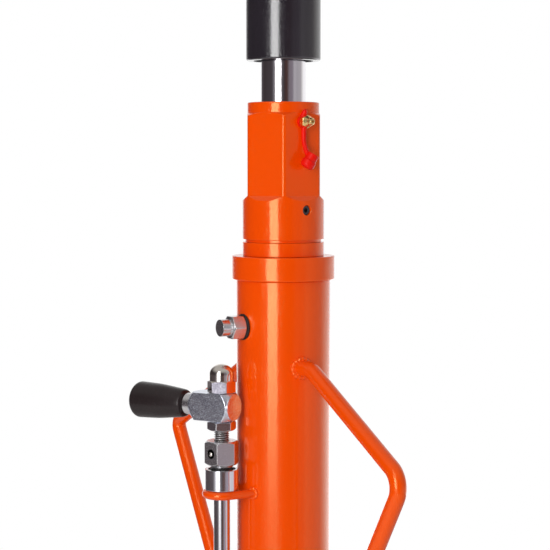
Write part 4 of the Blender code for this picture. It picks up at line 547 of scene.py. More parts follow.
orange_paint = finish(
    "orange_paint", (0.89, 0.070, 0.0), (0.94, 0.079, 0.0), (0.05, 0.08), worn=(0.95, 0.22, 0.02), wear=0.35,
    relief_scale=800.0, depth=0.00004, drift=14.0, dust=0.03, nibs=0.8, specular_ior_level=0.66,
    specular_tint=(1.0, 0.92, 0.42, 1.0))
black_paint = finish(
    "black_paint", (0.017, 0.014, 0.019), (0.024, 0.020, 0.026), (0.08, 0.13), worn=(0.10, 0.10, 0.10),
    wear=0.4, relief_scale=800.0, depth=0.00006, dust=0.04, nibs=0.5, specular_ior_level=0.95)
hard_chrome = finish(
    "hard_chrome", (0.84, 0.82, 0.85), (0.90, 0.88, 0.91), (0.07, 0.11), metallic=1.0, relief_scale=1500.0,
    depth=0.00003)
# Its patch gives the front flat a darker lilac tone, a painted reflection, and a duller gloss.
bright_nut = finish(
    "bright_nut", (0.74, 0.68, 0.62), (0.84, 0.79, 0.74), (0.06, 0.10), metallic=1.0, scratches=0.10,
    relief_scale=900.0, depth=0.000004, dull_or_painted_patch=(NUT_FRONT, 0.0308, (0.37, 0.355, 0.41), 0.50))
zinc_turned = finish(
    "zinc_turned", (0.70, 0.70, 0.74), (0.78, 0.78, 0.81), (0.12, 0.17), scratches=0.06, **LATHED)
# Its thread's grooves are darkened toward the axis: painted shade.
zinc_rod = finish(
    "zinc_rod", (0.62, 0.61, 0.63), (0.72, 0.71, 0.73), (0.11, 0.15), metallic=1.0, relief_scale=1400.0,
    depth=0.000012, painted_groove_shade=0.0055, dull_or_painted_patch=(STUD_MIDDLE, 0.0100, (0.62, 0.61, 0.62), 0.32), axis=AT_ROD)
# Its patch paints the wall of the coupling's pin hole near black: painted shade.
zinc_satin = finish(
    "zinc_satin", (0.70, 0.69, 0.71), (0.80, 0.79, 0.80), (0.22, 0.27), metallic=1.0, relief_scale=1400.0,
    depth=0.00002, scratches=0.10, dull_or_painted_patch=(PIN_HOLE, 0.0079, (0.02, 0.018, 0.018), 0.5))
zinc_plug = finish(
    "zinc_plug", (0.70, 0.69, 0.70), (0.78, 0.77, 0.78), (0.20, 0.28), scratches=0.10, axis=ALONG_Y, **LATHED)
zinc_block = finish(
    "zinc_block", (0.52, 0.56, 0.68), (0.86, 0.89, 0.96), (0.21, 0.25), metallic=1.0, scratches=0.50,
    relief_scale=3000.0, depth=0.000004, drift=240.0)
zinc_plate = finish(
    "zinc_plate", (0.50, 0.50, 0.51), (0.62, 0.61, 0.60), (0.26, 0.40), metallic=1.0, worn=(0.75, 0.75, 0.76),
    wear=0.6, scratches=0.2, relief_scale=180.0, depth=0.00003, drift=40.0, dust=0.1)
brass = finish(
    "brass", (0.78, 0.52, 0.18), (0.90, 0.68, 0.32), (0.18, 0.28), metallic=1.0, relief="lathe_rings",
    relief_scale=0.0004, depth=0.000004, axis=ALONG_X)
red_plastic = finish(
    "red_plastic", (0.78, 0.003, 0.001), (0.86, 0.010, 0.002), (0.34, 0.44), relief_scale=500.0, depth=0.00002,
    subsurface_weight=0.1, subsurface_scale=0.003, specular_ior_level=0.16)
black_rubber = finish(
    "black_rubber", (0.012, 0.012, 0.012), (0.022, 0.021, 0.020), (0.45, 0.62), relief_scale=900.0,
    depth=0.00004, dust=0.12)
knob_plastic = finish(
    "knob_plastic", (0.016, 0.011, 0.011), (0.028, 0.020, 0.021), (0.19, 0.27), relief_scale=1400.0,
    depth=0.00002, scratches=0.10, drift=60.0, axis=ALONG_LEVER, specular_ior_level=0.30)
grey_nylon = finish(
    "grey_nylon", (0.085, 0.086, 0.090), (0.12, 0.12, 0.125), (0.42, 0.58), relief_scale=500.0, depth=0.00005,
    dust=0.1, scratches=0.1)
print("finishes:", len(bpy.data.materials))

# %% [markdown]
# ## Putting a piece in place
#
# Every new piece rides on the body whose solid it covers, and hides the solids that it stands
# for. Pieces that are one profile go through `lathe`, which stands them on a seat, so their
# profiles are measured from there.

# %% Dress a piece
SLOT_OF = dict.fromkeys([zinc_turned, zinc_rod, zinc_satin, zinc_plug, zinc_block, zinc_plate], "zinc_steel")
SLOT_OF |= {orange_paint: "orange_paint", black_paint: "black_paint", hard_chrome: "chrome",
            bright_nut: "chrome", brass: "brass", red_plastic: "red_plastic", black_rubber: "rubber",
            knob_plastic: "knob_plastic", grey_nylon: "nylon"}


def dress(obj, material, body, *nodes):
    """Give a piece its finish and its body, and hide the solids that it stands for."""
    obj.data.materials.append(material)
    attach(obj, body)
    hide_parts(*nodes)
    print(f"{obj.name}: {len(obj.data.polygons)} faces")
    return obj


def lathe(name, material, body, node, profile, edge, steps=3, sides=96, at=(0.0, 0.0, 0.0), way=None,
          longest=None, **flats):
    """Round a profile, turn it, stand it at a place (along `way`, or upright) and dress it."""
    profile = rounded(profile, edge, steps)
    if longest:
        profile = refined(profile, longest)
    grid = turned(profile, sides, **flats)
    grid = grid + np.asarray(at) if way is None else aimed(grid, at, way)
    return dress(solid(name, grid), material, body, node)


# %% [markdown]
# ## The camera
#
# The photograph looks at the jack from its front right, with the lens level with the gland's
# hexagon: the discs above that height show their undersides and those below it their tops. A
# long lens keeps the column's sides parallel. One pixel is 0.81 mm at the column's axis, which
# ties the focal length to the distance.

# %% Camera
PICTURE = 550
PIXEL = 0.00081
DISTANCE = 1.32
BEARING = math.radians(-31.2)
EYE_HEIGHT = 0.9833
EYE_ROW, AXIS_COLUMN = 163.0, 283.3

toward_camera = level(BEARING)
to_right = np.cross(Z, toward_camera)
focal = DISTANCE / PIXEL
pitch = math.atan((EYE_ROW - PICTURE / 2) / focal)
yaw = math.atan((AXIS_COLUMN - PICTURE / 2) / focal)
looking = -toward_camera * math.cos(yaw) - to_right * math.sin(yaw)
looking = looking * math.cos(pitch) + Z * math.sin(pitch)

camera_data = bpy.data.cameras.new("camera")
camera_data.sensor_width = 36.0
camera_data.lens = 36.0 * focal / PICTURE
camera_data.clip_start, camera_data.clip_end = 0.05, 50.0
camera = bpy.data.objects.new("camera", camera_data)
camera.location = toward_camera * DISTANCE + Z * EYE_HEIGHT
camera.rotation_mode = "QUATERNION"
camera.rotation_quaternion = Vector(looking).to_track_quat("-Z", "Y")
bpy.context.scene.collection.objects.link(camera)
bpy.context.scene.camera = camera
print(f"lens {camera_data.lens:.1f} mm, pitch {math.degrees(pitch):.2f} degrees")

# %% [markdown]
# ## The light
#
# Paint and chrome show the studio as much as their own colour. This one has a tall softbox to
# the left of the camera, a dark room behind the camera, grey panels on the right, and a white
# backdrop behind the jack. The softbox is a stack of lamps, dimmer toward the floor and above.
# The rest is painted on the world as a ring of tones around the jack, found from the direction's
# bearing, with an even ceiling above and more light from below, as a pale floor gives.

# %% Softbox and studio ring
def softbox(name, bearing, distance, height, size, brightness):
    """An area lamp that faces the column; its power is brightness x pi x area."""
    data = bpy.data.lights.new(name, "AREA")
    data.shape = "RECTANGLE"
    data.size, data.size_y = size
    data.energy = brightness * math.pi * size[0] * size[1]
    lamp = bpy.data.objects.new(name, data)
    spot = level(BEARING + math.radians(bearing)) * distance + Z * height
    lamp.location = spot
    lamp.rotation_mode = "QUATERNION"
    lamp.rotation_quaternion = Vector([-spot[0], -spot[1], 0.0]).to_track_quat("-Z", "Y")
    lamp.visible_camera = False
    bpy.context.scene.collection.objects.link(lamp)
    return lamp


SOFTBOX_BEARING, SOFTBOX_DISTANCE, SOFTBOX_WIDTH = -26.2, 2.0, 0.85
BANDS = [(1.52, 3.00, 2.4), (0.64, 1.52, 7.8), (0.50, 0.64, 5.2), (0.36, 0.50, 2.8), (0.15, 0.36, 0.6)]
for band, (foot, top, brightness) in enumerate(BANDS):
    softbox(f"softbox_{band}", SOFTBOX_BEARING, SOFTBOX_DISTANCE, (foot + top) / 2,
            (SOFTBOX_WIDTH, top - foot), brightness)

STUDIO_RING = [
    (-180, (1.0, 1.0, 1.0)), (-158, (1.0, 1.0, 1.0)), (-148, (0.10, 0.09, 0.10)), (-118, (0.045, 0.036, 0.038)),
    (-60, (0.06, 0.05, 0.055)), (-50, (0.16, 0.15, 0.16)), (-44, (0.35, 0.34, 0.35)), (-13, (0.32, 0.31, 0.32)),
    (-7, (0.11, 0.10, 0.11)), (3, (0.050, 0.038, 0.040)), (16, (0.070, 0.034, 0.030)),
    (23, (0.085, 0.055, 0.052)), (29, (0.19, 0.16, 0.18)),
    (49, (0.22, 0.19, 0.22)), (57, (0.42, 0.40, 0.42)), (64, (0.42, 0.40, 0.42)), (74, (0.37, 0.35, 0.37)),
    (103, (0.42, 0.40, 0.41)), (116, (0.80, 0.78, 0.77)), (130, (1.0, 1.0, 1.0)), (180, (1.0, 1.0, 1.0)),
]
world = bpy.data.worlds.new("studio")
bpy.context.scene.world = world
world.use_nodes = True
tree = world.node_tree
tree.nodes.clear()
direction = add(tree, "ShaderNodeTexCoord").outputs["Generated"]
ahead = vector_node(tree, "DOT_PRODUCT", direction, toward_camera)
aside = vector_node(tree, "DOT_PRODUCT", direction, to_right)
bearing = math_node(tree, "ARCTAN2", aside, ahead)
ring = add(tree, "ShaderNodeValToRGB", {0: ramp(tree, bearing, -math.pi, math.pi)})
stops = ring.color_ramp.elements
while len(stops) < len(STUDIO_RING):
    stops.new(0.5)
for stop, (degrees, colour) in zip(stops, STUDIO_RING):
    stop.position = (degrees + 180) / 360
    stop.color = (*colour, 1.0)
rise = add(tree, "ShaderNodeSeparateXYZ", {0: direction}).outputs[2]
studio = mixed(tree, ramp(tree, rise, 0.35, 0.75), ring.outputs[0], (0.50, 0.49, 0.48))
studio = vector_node(tree, "MULTIPLY", studio, ramp(tree, rise, -0.04, -0.17, 1.0, 2.0), "Vector")
seen = add(tree, "ShaderNodeLightPath").outputs["Is Camera Ray"]
shown = mixed(tree, seen, studio, (1.0, 1.0, 1.0))
background = add(tree, "ShaderNodeBackground", {"Color": shown, "Strength": 1.0})
tree.links.new(background.outputs[0], add(tree, "ShaderNodeOutputWorld").inputs[0])

print("studio ring:", len(STUDIO_RING), "tones")

# %% [markdown]
# ## The floor
#
# A studio floor ends in a white sweep, so the eye never finds its edge. Here the floor is a round
# sheet that keeps the jack's shadow in the middle. Toward its rim the material gives way to plain
# white for the camera alone, and the rim then melts into the backdrop.

# %% A floor that fades into the backdrop
FLOOR_RADIUS, FADE_FROM, FLOOR_SIDES = 2.2, 1.1, 96
around = np.linspace(0, TAU, FLOOR_SIDES, endpoint=False)
floor_mesh = bpy.data.meshes.new("studio_floor")
floor_points = FLOOR_RADIUS * np.column_stack([np.cos(around), np.sin(around), 0 * around])
floor_mesh.from_pydata(floor_points.tolist(), [], [list(range(FLOOR_SIDES))])
studio_floor = bpy.data.objects.new("studio_floor", floor_mesh)
bpy.context.scene.collection.objects.link(studio_floor)
pale_floor = bpy.data.materials.new("pale_floor")
pale_floor.use_nodes = True
tree = pale_floor.node_tree
shader = tree.nodes["Principled BSDF"]
shader.inputs["Roughness"].default_value = 0.7
where = add(tree, "ShaderNodeTexCoord").outputs["Object"]
speckle = noise(tree, where, 900.0, 2.0)
tree.links.new(mixed(tree, speckle, (0.84, 0.84, 0.84), (0.88, 0.88, 0.88)), shader.inputs["Base Color"])
reach = vector_node(tree, "LENGTH", where)
fade = add(tree, "ShaderNodeMapRange", {0: reach, 1: FADE_FROM, 2: FLOOR_RADIUS - 0.05},
           interpolation_type="SMOOTHSTEP")
seen = add(tree, "ShaderNodeLightPath").outputs["Is Camera Ray"]
fade = times(tree, fade.outputs[0], seen)
white = add(tree, "ShaderNodeEmission", {"Color": (1.0, 1.0, 1.0, 1.0), "Strength": 1.0})
blend = add(tree, "ShaderNodeMixShader", {0: fade})
tree.links.new(shader.outputs[0], blend.inputs[1])
tree.links.new(white.outputs[0], blend.inputs[2])
tree.links.new(blend.outputs[0], tree.nodes["Material Output"].inputs[0])
floor_mesh.materials.append(pale_floor)

# %% [markdown]
# ## The column's tube and its weld beads
#
# The reservoir is a length of standard tube. The filler plug's washer needs a flat to seal on,
# so a flat-bottomed cutter sinks a round face into the wall before the hole is drilled.
# The bead of a bar welded on follows the line where the two round surfaces meet. For a bar of
# radius b whose axis passes the tube's at a distance e, the point at angle a round the bar is
# s = e + b sin a across, b cos a up and sqrt(R^2 - s^2) out.

# %% Tube with the filler's face and hole
TUBE_RADIUS, TUBE_BORE = 0.038, 0.035
FILLER_DROP = 0.0370
FILLER_FACE, FACE_RADIUS, PLUG_HOLE = 0.0368, 0.01075, 0.0073
tube_top, tube_foot = high("reservoir_tube"), low("reservoir_tube")
filler_height = tube_top - FILLER_DROP


def bead(bearing, height, bar, thickness, ripples, offset):
    """A weld bead round a bar that leaves the tube level at a bearing; its thickness swells and
    sinks as t (1 + 0.1 sin(k a) + 0.05 sin(3 a + 1)), as each puddle of metal set in turn."""
    angle = np.linspace(0, TAU, 144, endpoint=False)
    out_way = level(bearing)
    across = offset + (bar + thickness * 0.25) * np.sin(angle)
    up = (bar + thickness * 0.25) * np.cos(angle)
    reach = np.sqrt(TUBE_RADIUS ** 2 - across ** 2)
    path = reach[:, None] * out_way + across[:, None] * np.cross(Z, out_way) + (height + up)[:, None] * Z
    section = thickness * (1 + 0.10 * np.sin(ripples * angle) + 0.05 * np.sin(3 * angle + 1.0))
    return swept(path, section, 16, out_way, closed=True)


tube_wall = looped([(TUBE_RADIUS, tube_top - 0.02), (TUBE_RADIUS, tube_foot), (TUBE_BORE, tube_foot),
                    (TUBE_BORE, tube_top), (TUBE_RADIUS, tube_top)])
tube_shell = solid("tube_shell", turned(refined(rounded(tube_wall, 0.0005), 0.02), 160))
cutter = [(0, 0.030), (PLUG_HOLE, 0.030), (PLUG_HOLE, FILLER_FACE), (FACE_RADIUS, FILLER_FACE),
          (FACE_RADIUS, 0.045), (0, 0.045)]
drilled(tube_shell, aimed(turned(cutter, 96), Z * filler_height, -Y))
dress(tube_shell, orange_paint, "column", "reservoir_tube")

# %% Flange ring and pressure cylinder
FLANGE_RADIUS, HEAD_RADIUS = 0.0415, 0.0329
CYLINDER_RADIUS, CYLINDER_BORE = 0.025, 0.020
GLAND_SEAT, SEAT_DEPTH = 0.022, 0.0223
flange_top = high("top_flange_ring")
flange_foot = tube_top + GAP
lathe("flange_ring", orange_paint, "column", "top_flange_ring", looped([
    (FLANGE_RADIUS, flange_top - 0.009), (FLANGE_RADIUS, flange_foot), (TUBE_BORE - GAP, flange_foot),
    (TUBE_BORE - GAP, flange_foot - 0.006), (CYLINDER_RADIUS + GAP, flange_foot - 0.006),
    (CYLINDER_RADIUS + GAP, flange_top), (FLANGE_RADIUS, flange_top)]), 0.0009, 5, 160)
head_foot = flange_top + 0.00005
head_top, cylinder_foot = high("inner_cylinder") + 0.00025, low("inner_cylinder")
lathe("cylinder_body", orange_paint, "column", "inner_cylinder", looped([
    (HEAD_RADIUS, head_top - 0.004), (HEAD_RADIUS, head_foot), (CYLINDER_RADIUS, head_foot),
    (CYLINDER_RADIUS, cylinder_foot), (CYLINDER_BORE, cylinder_foot), (CYLINDER_BORE, head_top - SEAT_DEPTH),
    (GLAND_SEAT, head_top - SEAT_DEPTH), (GLAND_SEAT, head_top), (HEAD_RADIUS, head_top)]), 0.0004, 4, 144)

# %% [markdown]
# ## The hexagon gland nut
#
# The gland carries the most machining on the whole column: a ring, a hexagon for the wrench,
# a round collar, and the 45 degree run-outs that the cutter left where the flats end. Those
# come from letting the polygon grow below the flats, one millimetre out for each millimetre
# down, until it clears the collar.

# %% Gland, wiper, set screw
GLAND_RING, GLAND_FLAT, GLAND_COLLAR, GLAND_GROOVE = 0.0290, 0.0290, 0.0329, 0.03075
GUIDE_BORE, WIPER_BORE = 0.0183, 0.0223
gland_top = high("gland_nut")
hex_top = gland_top - 0.0085
hex_foot = hex_top - 0.0662
collar_foot = hex_foot - 0.0350
groove_foot = collar_foot - 0.0024
spigot_foot = low("gland_nut")
TOP_CONE = (GLAND_COLLAR - GLAND_RING) * math.tan(math.radians(30))
outside = rounded([(WIPER_BORE, gland_top), (GLAND_RING, gland_top), (GLAND_RING, hex_top),
                   (GLAND_RING + 0.0001, hex_top)], 0.0009, 4)
cone = refined([(GLAND_RING + 0.0001, hex_top), (GLAND_COLLAR, hex_top - TOP_CONE)], 0.0002)
flats_run = refined([(GLAND_COLLAR, hex_top - TOP_CONE), (GLAND_COLLAR, hex_foot + 0.001)], 0.006)
run_out = refined([(GLAND_COLLAR, hex_foot + 0.001), (GLAND_COLLAR, hex_foot - 0.0048)], 0.0002)
lower = rounded([
    (GLAND_COLLAR, hex_foot - 0.0048), (GLAND_COLLAR, collar_foot), (GLAND_GROOVE, collar_foot),
    (GLAND_GROOVE, groove_foot), (GLAND_SEAT - GAP, groove_foot), (GLAND_SEAT - GAP, spigot_foot),
    (GUIDE_BORE, spigot_foot), (GUIDE_BORE, gland_top - 0.005), (WIPER_BORE, gland_top - 0.005),
    (WIPER_BORE, gland_top)], 0.0003, 4)
gland_profile = np.vstack([outside, cone, flats_run, run_out, lower])
grown = GLAND_FLAT + np.clip(hex_foot - gland_profile[:, 1], 0.0, 0.02)
gland_body = solid("gland_body", turned(gland_profile, 264, 6, grown, 0.0, crisp=230.0))
screw_way, screw_height = level(math.radians(4.0)), collar_foot + 0.0237
SCREW_RADIUS, SCREW_DEPTH = 0.004, 0.008
screw_mouth = Z * screw_height + screw_way * GLAND_COLLAR
screw_hole = aimed(turned([
    (0, -SCREW_DEPTH), (SCREW_RADIUS, -SCREW_DEPTH), (SCREW_RADIUS, -0.0004), (SCREW_RADIUS + 0.0008, 0.0004),
    (SCREW_RADIUS + 0.0008, 0.0171), (0, 0.0171)], 48), screw_mouth, screw_way)
nipple_height = gland_top - 0.0160
nipple_hole = aimed(turned([(0, 0.021), (0.0033, 0.021), (0.0033, 0.04), (0, 0.04)], 32), Z * nipple_height, X)
drilled(gland_body, screw_hole, nipple_hole)
dress(gland_body, orange_paint, "column", "gland_nut")

lathe("wiper_lip", black_rubber, "column", "gland_wiper_seal", looped([
    (0.0203, 0), (0.0220, -0.0002), (0.0220, -0.0047), (GUIDE_BORE, -0.0047), (GUIDE_BORE, 0)]),
    0.0004, at=Z * gland_top)
lathe("socket_screw", black_paint, "column", "gland_set_screw", [
    (0, -0.0047), (0.0018, -0.0047), (0.0018, -0.0017), (0.0037, -0.0017), (0.0037, -0.0077), (0, -0.0077)],
    0.0003, sides=60, at=screw_mouth, way=screw_way, flats=6, apothem=0.02)

# %% [markdown]
# ## Bleed nipple and dust cap
#
# The nipple is brass: a hexagon, a waist and a tip with a hole. The soft red cap hangs from
# it by a strap, whose ring lies behind the hexagon. Soft plastic has no crisp edges, so its
# profiles get larger curves, and the strap thins where it bends.

# %% Nipple and cap
nipple_start, ring_start = GLAND_FLAT + 0.0031, GLAND_FLAT + GAP
lathe("brass_nipple", brass, "column", "bleed_nipple", [
    (0, 0.0093), (0.0009, 0.0093), (0.0009, 0.0124), (0.0020, 0.0124), (0.0031, 0.0106), (0.0031, 0.0096),
    (0.0024, 0.0090), (0.0030, 0.0080), (0.0046, 0.0054), (0.0055, 0.0046), (0.0055, 0.0009),
    (0.0048, 0.0003), (0.0030, 0.0003), (0.0030, -0.0108), (0, -0.0108)],
    0.0002, 2, 144, Z * nipple_height + X * nipple_start, X, 0.0003, flats=6, apothem=0.0047, crisp=120.0)

cap_ring = rounded(looped([(0.0045, 0.0028), (0.0052, 0.0028), (0.0052, 0), (0.0033, 0), (0.0033, 0.0028)]),
                   0.0006, 4)
STRAP = 0.0020
strap_start = np.array([ring_start + STRAP, 0.0, nipple_height - 0.0044])
cap_middle = np.array([GLAND_FLAT + 0.00875, 0.0012, nipple_height - 0.0311])
strap_path = refined(bent([strap_start, strap_start - Z * 0.012, cap_middle], [0.014], 24), 0.0006)
share = np.linspace(0, 1, len(strap_path))
strap_grid = swept(strap_path, STRAP * (1.05 - 0.12 * np.sin(math.pi * share)), 20, Y)
tab_path = refined([(ring_start + 0.0012, -0.0010, nipple_height + 0.0040),
                    (ring_start + 0.0030, 0.0, nipple_height + 0.0072),
                    (ring_start + 0.0040, 0.0004, nipple_height + 0.0098)], 0.0005)
share = np.linspace(0, 1, len(tab_path))
tab_grid = swept(tab_path, 0.0021 * np.sqrt(1 - 0.9 * share ** 6), 18, X)
CAP_RADIUS, CAP_NECK, CAP_HALF = 0.00575, 0.0049, 0.0064
cap_profile = rounded([
    (0, 0.0), (0.0033, 0.0), (0.0033, CAP_HALF), (CAP_NECK, CAP_HALF), (CAP_NECK, 0.0011), (CAP_RADIUS, 0.0002),
    (CAP_RADIUS, -CAP_HALF + 0.0026), (0.0046, -CAP_HALF + 0.0007), (0, -CAP_HALF)], 0.0008, 5)
lean = np.array([math.sin(math.radians(12)), math.sin(math.radians(28)), 0.0])
lean[2] = math.sqrt(1 - lean @ lean)
dust_cap = solid("soft_dust_cap", aimed(turned(cap_ring, 64), Z * nipple_height + X * ring_start, X),
                 strap_grid, tab_grid, aimed(turned(cap_profile, 64), cap_middle, lean))
dress(dust_cap, red_plastic, "column", "nipple_dust_cap")

# %% [markdown]
# ## Filler plug
#
# The plug is a hexagon with a small knob turned on its outer end, seated on a black washer.
# Its whole length is one profile: the flats only bite where the blank is wider than they are.

# %% Plug and washer
WASHER = 0.0018
HEX_END, NECK_END, PLUG_END = 0.0114, 0.0129, 0.0199
washer_seat = Z * filler_height - Y * (FILLER_FACE + GAP)
lathe("plug_washer", black_rubber, "column", "filler_washer", looped([
    (0.0090, WASHER), (0.01025, WASHER), (0.01025, 0), (0.0073, 0), (0.0073, WASHER)]),
    0.0005, at=washer_seat, way=-Y)
lathe("hexagon_plug", zinc_plug, "column", "filler_plug", [
    (0, PLUG_END), (0.00685, PLUG_END), (0.00685, NECK_END), (0.0058, NECK_END), (0.0058, HEX_END),
    (0.0084, HEX_END), (0.01028, HEX_END - 0.0011), (0.01028, 0.0011), (0.0088, 0), (0.0070, 0),
    (0.0070, -0.008), (0, -0.008)], 0.0003, 3, 192, washer_seat - Y * (WASHER + GAP), -Y, 0.0003,
    flats=6, apothem=0.0089, first_flat=math.radians(30))

# %% [markdown]
# ## Ram, head and saddle
#
# The ram is the plainest piece of all and the hardest to fake: only a truly round mesh gives
# an even chrome reflection. The black head has a generous radius at its foot, and the saddle
# above it turns on a stem.

# %% Ram and black head
RAM_RADIUS = 0.018
ram_low, ram_high = low("piston_rod"), high("piston_rod")
lathe("ram_bar", hard_chrome, "ram", "piston_rod", [
    (0, ram_high), (RAM_RADIUS, ram_high), (RAM_RADIUS, ram_low), (0, ram_low)], 0.001, sides=192, longest=0.05)
HEAD_BLACK = 0.030
head_low, head_high = low("saddle_socket"), high("saddle_socket")
STEM_BORE, STEM_LENGTH = 0.0153, 0.0383
head_profile = np.vstack([
    rounded([(0, head_high - STEM_LENGTH), (STEM_BORE, head_high - STEM_LENGTH), (STEM_BORE, head_high),
             (HEAD_BLACK, head_high), (HEAD_BLACK, head_low + 0.02)], 0.0014, 4),
    rounded([(HEAD_BLACK, head_low + 0.0199), (HEAD_BLACK, head_low), (0.0242, head_low)], 0.0026, 8),
    rounded([(0.0241, head_low), (0.0241, head_low + 0.002), (0.0183, head_low + 0.002),
             (0.0183, head_low + 0.0203), (0, head_low + 0.0203)], 0.0004)])
dress(solid("black_head", turned(head_profile, 160)), black_paint, "ram", "saddle_socket")

# %% Saddle
SADDLE_RADIUS = 0.052
saddle_low, saddle_high = low("saddle"), high("saddle")
disc_foot = head_high + GAP
disc_top = disc_foot + 0.012
CLAW_INNER, SADDLE_DISH = 0.036, 0.004
CLAW_DEPTH, CLAW_WIDTH, CLAW_TAPER = 0.0081, 0.0090, 0.225
saddle_profile = rounded([
    (0, disc_top - SADDLE_DISH), (CLAW_INNER - SADDLE_DISH, disc_top - SADDLE_DISH), (CLAW_INNER, disc_top),
    (SADDLE_RADIUS, disc_top), (SADDLE_RADIUS, disc_foot + 0.006), (0.030, disc_foot), (0.015, disc_foot),
    (0.015, saddle_low), (0, saddle_low)], 0.0013, 4)


def claw(bearing):
    """A square column with a rounded top, 16 x 18 mm. Its outer face stands upright at the disc's
    rim, and its inner face leans outward as the depth shrinks."""
    rise = saddle_high - disc_top
    block = turned(refined(rounded([(0, rise), (0.02, rise), (0.02, -0.001), (0, -0.001)], 0.003, 6), 0.002),
                   96, 4, CLAW_DEPTH, 0.0, crisp=26.0)
    depth = CLAW_DEPTH * (1 - CLAW_TAPER * np.clip(block[..., 2:] / rise, 0, 1))
    out_way = block[..., :1] * depth / CLAW_DEPTH + (SADDLE_RADIUS - 0.0001) - depth
    side_way = block[..., 1:2] * CLAW_WIDTH / CLAW_DEPTH
    return out_way * level(bearing) + side_way * np.cross(Z, level(bearing)) + (disc_top + block[..., 2:]) * Z


claws = [claw(math.radians(45 + 90 * n)) for n in range(4)]
saddle_disc = solid("saddle_disc", turned(saddle_profile, 144), *claws)
dress(saddle_disc, black_paint, "saddle_head", "saddle")

# %% [markdown]
# ## Handles
#
# Each handle is one bar, bent three times and welded to the tube at both ends. They were bent by
# hand: the left one leaves the tube a little lower, and its corner is tighter.

# %% The two handles
HANDLE_BAR, HANDLE_OFFSET = 0.0064, 0.0056
HANDLE_ROOT, STUB_REACH = TUBE_RADIUS - 0.004, 0.052
LOWER_DROP, STUB_BEND = 0.3430, 0.014
for side, name, upper, corner, handle_reach, bend in (
        (1, "right", 0.0685, 0.1364, 0.1768, 0.016), (-1, "left", 0.0755, 0.1397, 0.1759, 0.008)):
    handle_heights = [tube_top - drop for drop in (upper, upper, corner, LOWER_DROP, LOWER_DROP)]
    reaches = (HANDLE_ROOT, STUB_REACH, handle_reach, STUB_REACH, HANDLE_ROOT)
    corners = [(side * reach, -HANDLE_OFFSET, height) for reach, height in zip(reaches, handle_heights)]
    path = refined(bent(corners, [STUB_BEND, bend, STUB_BEND], 24), 0.002)
    bearing = 0.0 if side == 1 else math.pi
    ends = [bead(bearing, height, HANDLE_BAR, 0.0023, 17, -side * HANDLE_OFFSET)
            for height in (handle_heights[0], handle_heights[-1])]
    handle = solid(f"{name}_handle", swept(path, HANDLE_BAR, 40, Y), *ends)
    dress(handle, orange_paint, "column", f"handle_{name}")

# %% [markdown]
# ## Release control
#
# From the bottom up: a loop of bar welded to the tube holds a bush, the rod turns in it, and a
# cross pin fixes a hexagon coupling on the rod, loose enough to lie low in its hole. Above the
# coupling a threaded stud carries the lock nut, the square lever block and the domed nut.

# %% Guide loop and bush
guide_height = tube_top - 0.1700
GUIDE_BAR, LOOP_RADIUS = 0.00325, 0.0125
at_rod, inside = Y * ROD_Y, -0.033
half_turn = [LOOP_RADIUS * level(angle) + at_rod + Z * guide_height for angle in np.linspace(0, -math.pi, 49)]
loop_path = np.vstack([(LOOP_RADIUS, inside, guide_height), *half_turn, (-LOOP_RADIUS, inside, guide_height)])
loop_beads = [bead(-math.pi / 2, guide_height, GUIDE_BAR, 0.0015, 9, side * LOOP_RADIUS) for side in (1, -1)]
guide = solid("guide_bar", swept(refined(loop_path, 0.001), GUIDE_BAR, 28, Z), *loop_beads)
dress(guide, orange_paint, "column", "guide_loop")

bush_low, bush_high = low("guide_bush"), high("guide_bush")
bush_top = at_rod + Z * bush_high
lathe("steel_bush", zinc_turned, "column", "guide_bush", looped([
    (0.0135, -0.005), (0.0135, bush_low - bush_high), (0.0068, bush_low - bush_high), (0.0068, -0.0075),
    (0.0111, -0.0075), (0.0111, 0), (0.0135, 0)]), 0.0004, sides=128, at=bush_top)
lathe("bush_seal", black_rubber, "column", "guide_seal_ring", looped([
    (0.0098, -0.0004), (0.0108, -0.0010), (0.0108, -0.0072), (0.0089, -0.0072), (0.0089, -0.0010)]),
    0.0004, at=bush_top)

# %% [markdown]
# ### The threaded stud
#
# A thread is a turned bar whose radius depends on the angle as well as the height: the groove
# climbs one pitch for each turn, so its phase is height / pitch - angle / 2 pi.

# %% Rod with its thread
ROD_RADIUS, STUD_RADIUS, ROD_SIDES = 0.0065, 0.0060, 64
PITCH, THREAD_DEPTH = 0.00175, 0.00107
rod_low, rod_high = low("release_rod"), high("release_rod")
coupling_foot = bush_high + 0.0036
coupling_top = coupling_foot + 0.0192
lock_foot = low("lever_lock_nut")
rod_profile = np.vstack([
    rounded([(0, rod_low), (ROD_RADIUS, rod_low), (ROD_RADIUS, coupling_foot), (STUD_RADIUS, coupling_foot),
             (STUD_RADIUS, coupling_top - 0.0015)], 0.0004),
    refined([(STUD_RADIUS, coupling_top - 0.0014), (STUD_RADIUS, lock_foot + 0.0014)], 0.00008),
    rounded([(STUD_RADIUS, lock_foot + 0.0015), (STUD_RADIUS, rod_high), (0, rod_high)], 0.0006)])
rod_grid = turned(rod_profile, ROD_SIDES)
phase = rod_grid[..., 2] / PITCH - np.linspace(0, 1, ROD_SIDES, endpoint=False)
groove = np.clip(np.abs(2 * (phase % 1.0) - 1) * 1.4 - 0.2, 0, 1)
cut_here = (rod_grid[..., 2] > coupling_top - 0.0014) & (rod_grid[..., 2] < lock_foot + 0.0014)
rod_grid[..., :2] *= (1 - THREAD_DEPTH / STUD_RADIUS * groove * cut_here)[..., None]
dress(solid("turning_rod", rod_grid + at_rod), zinc_rod, "release_control", "release_rod")

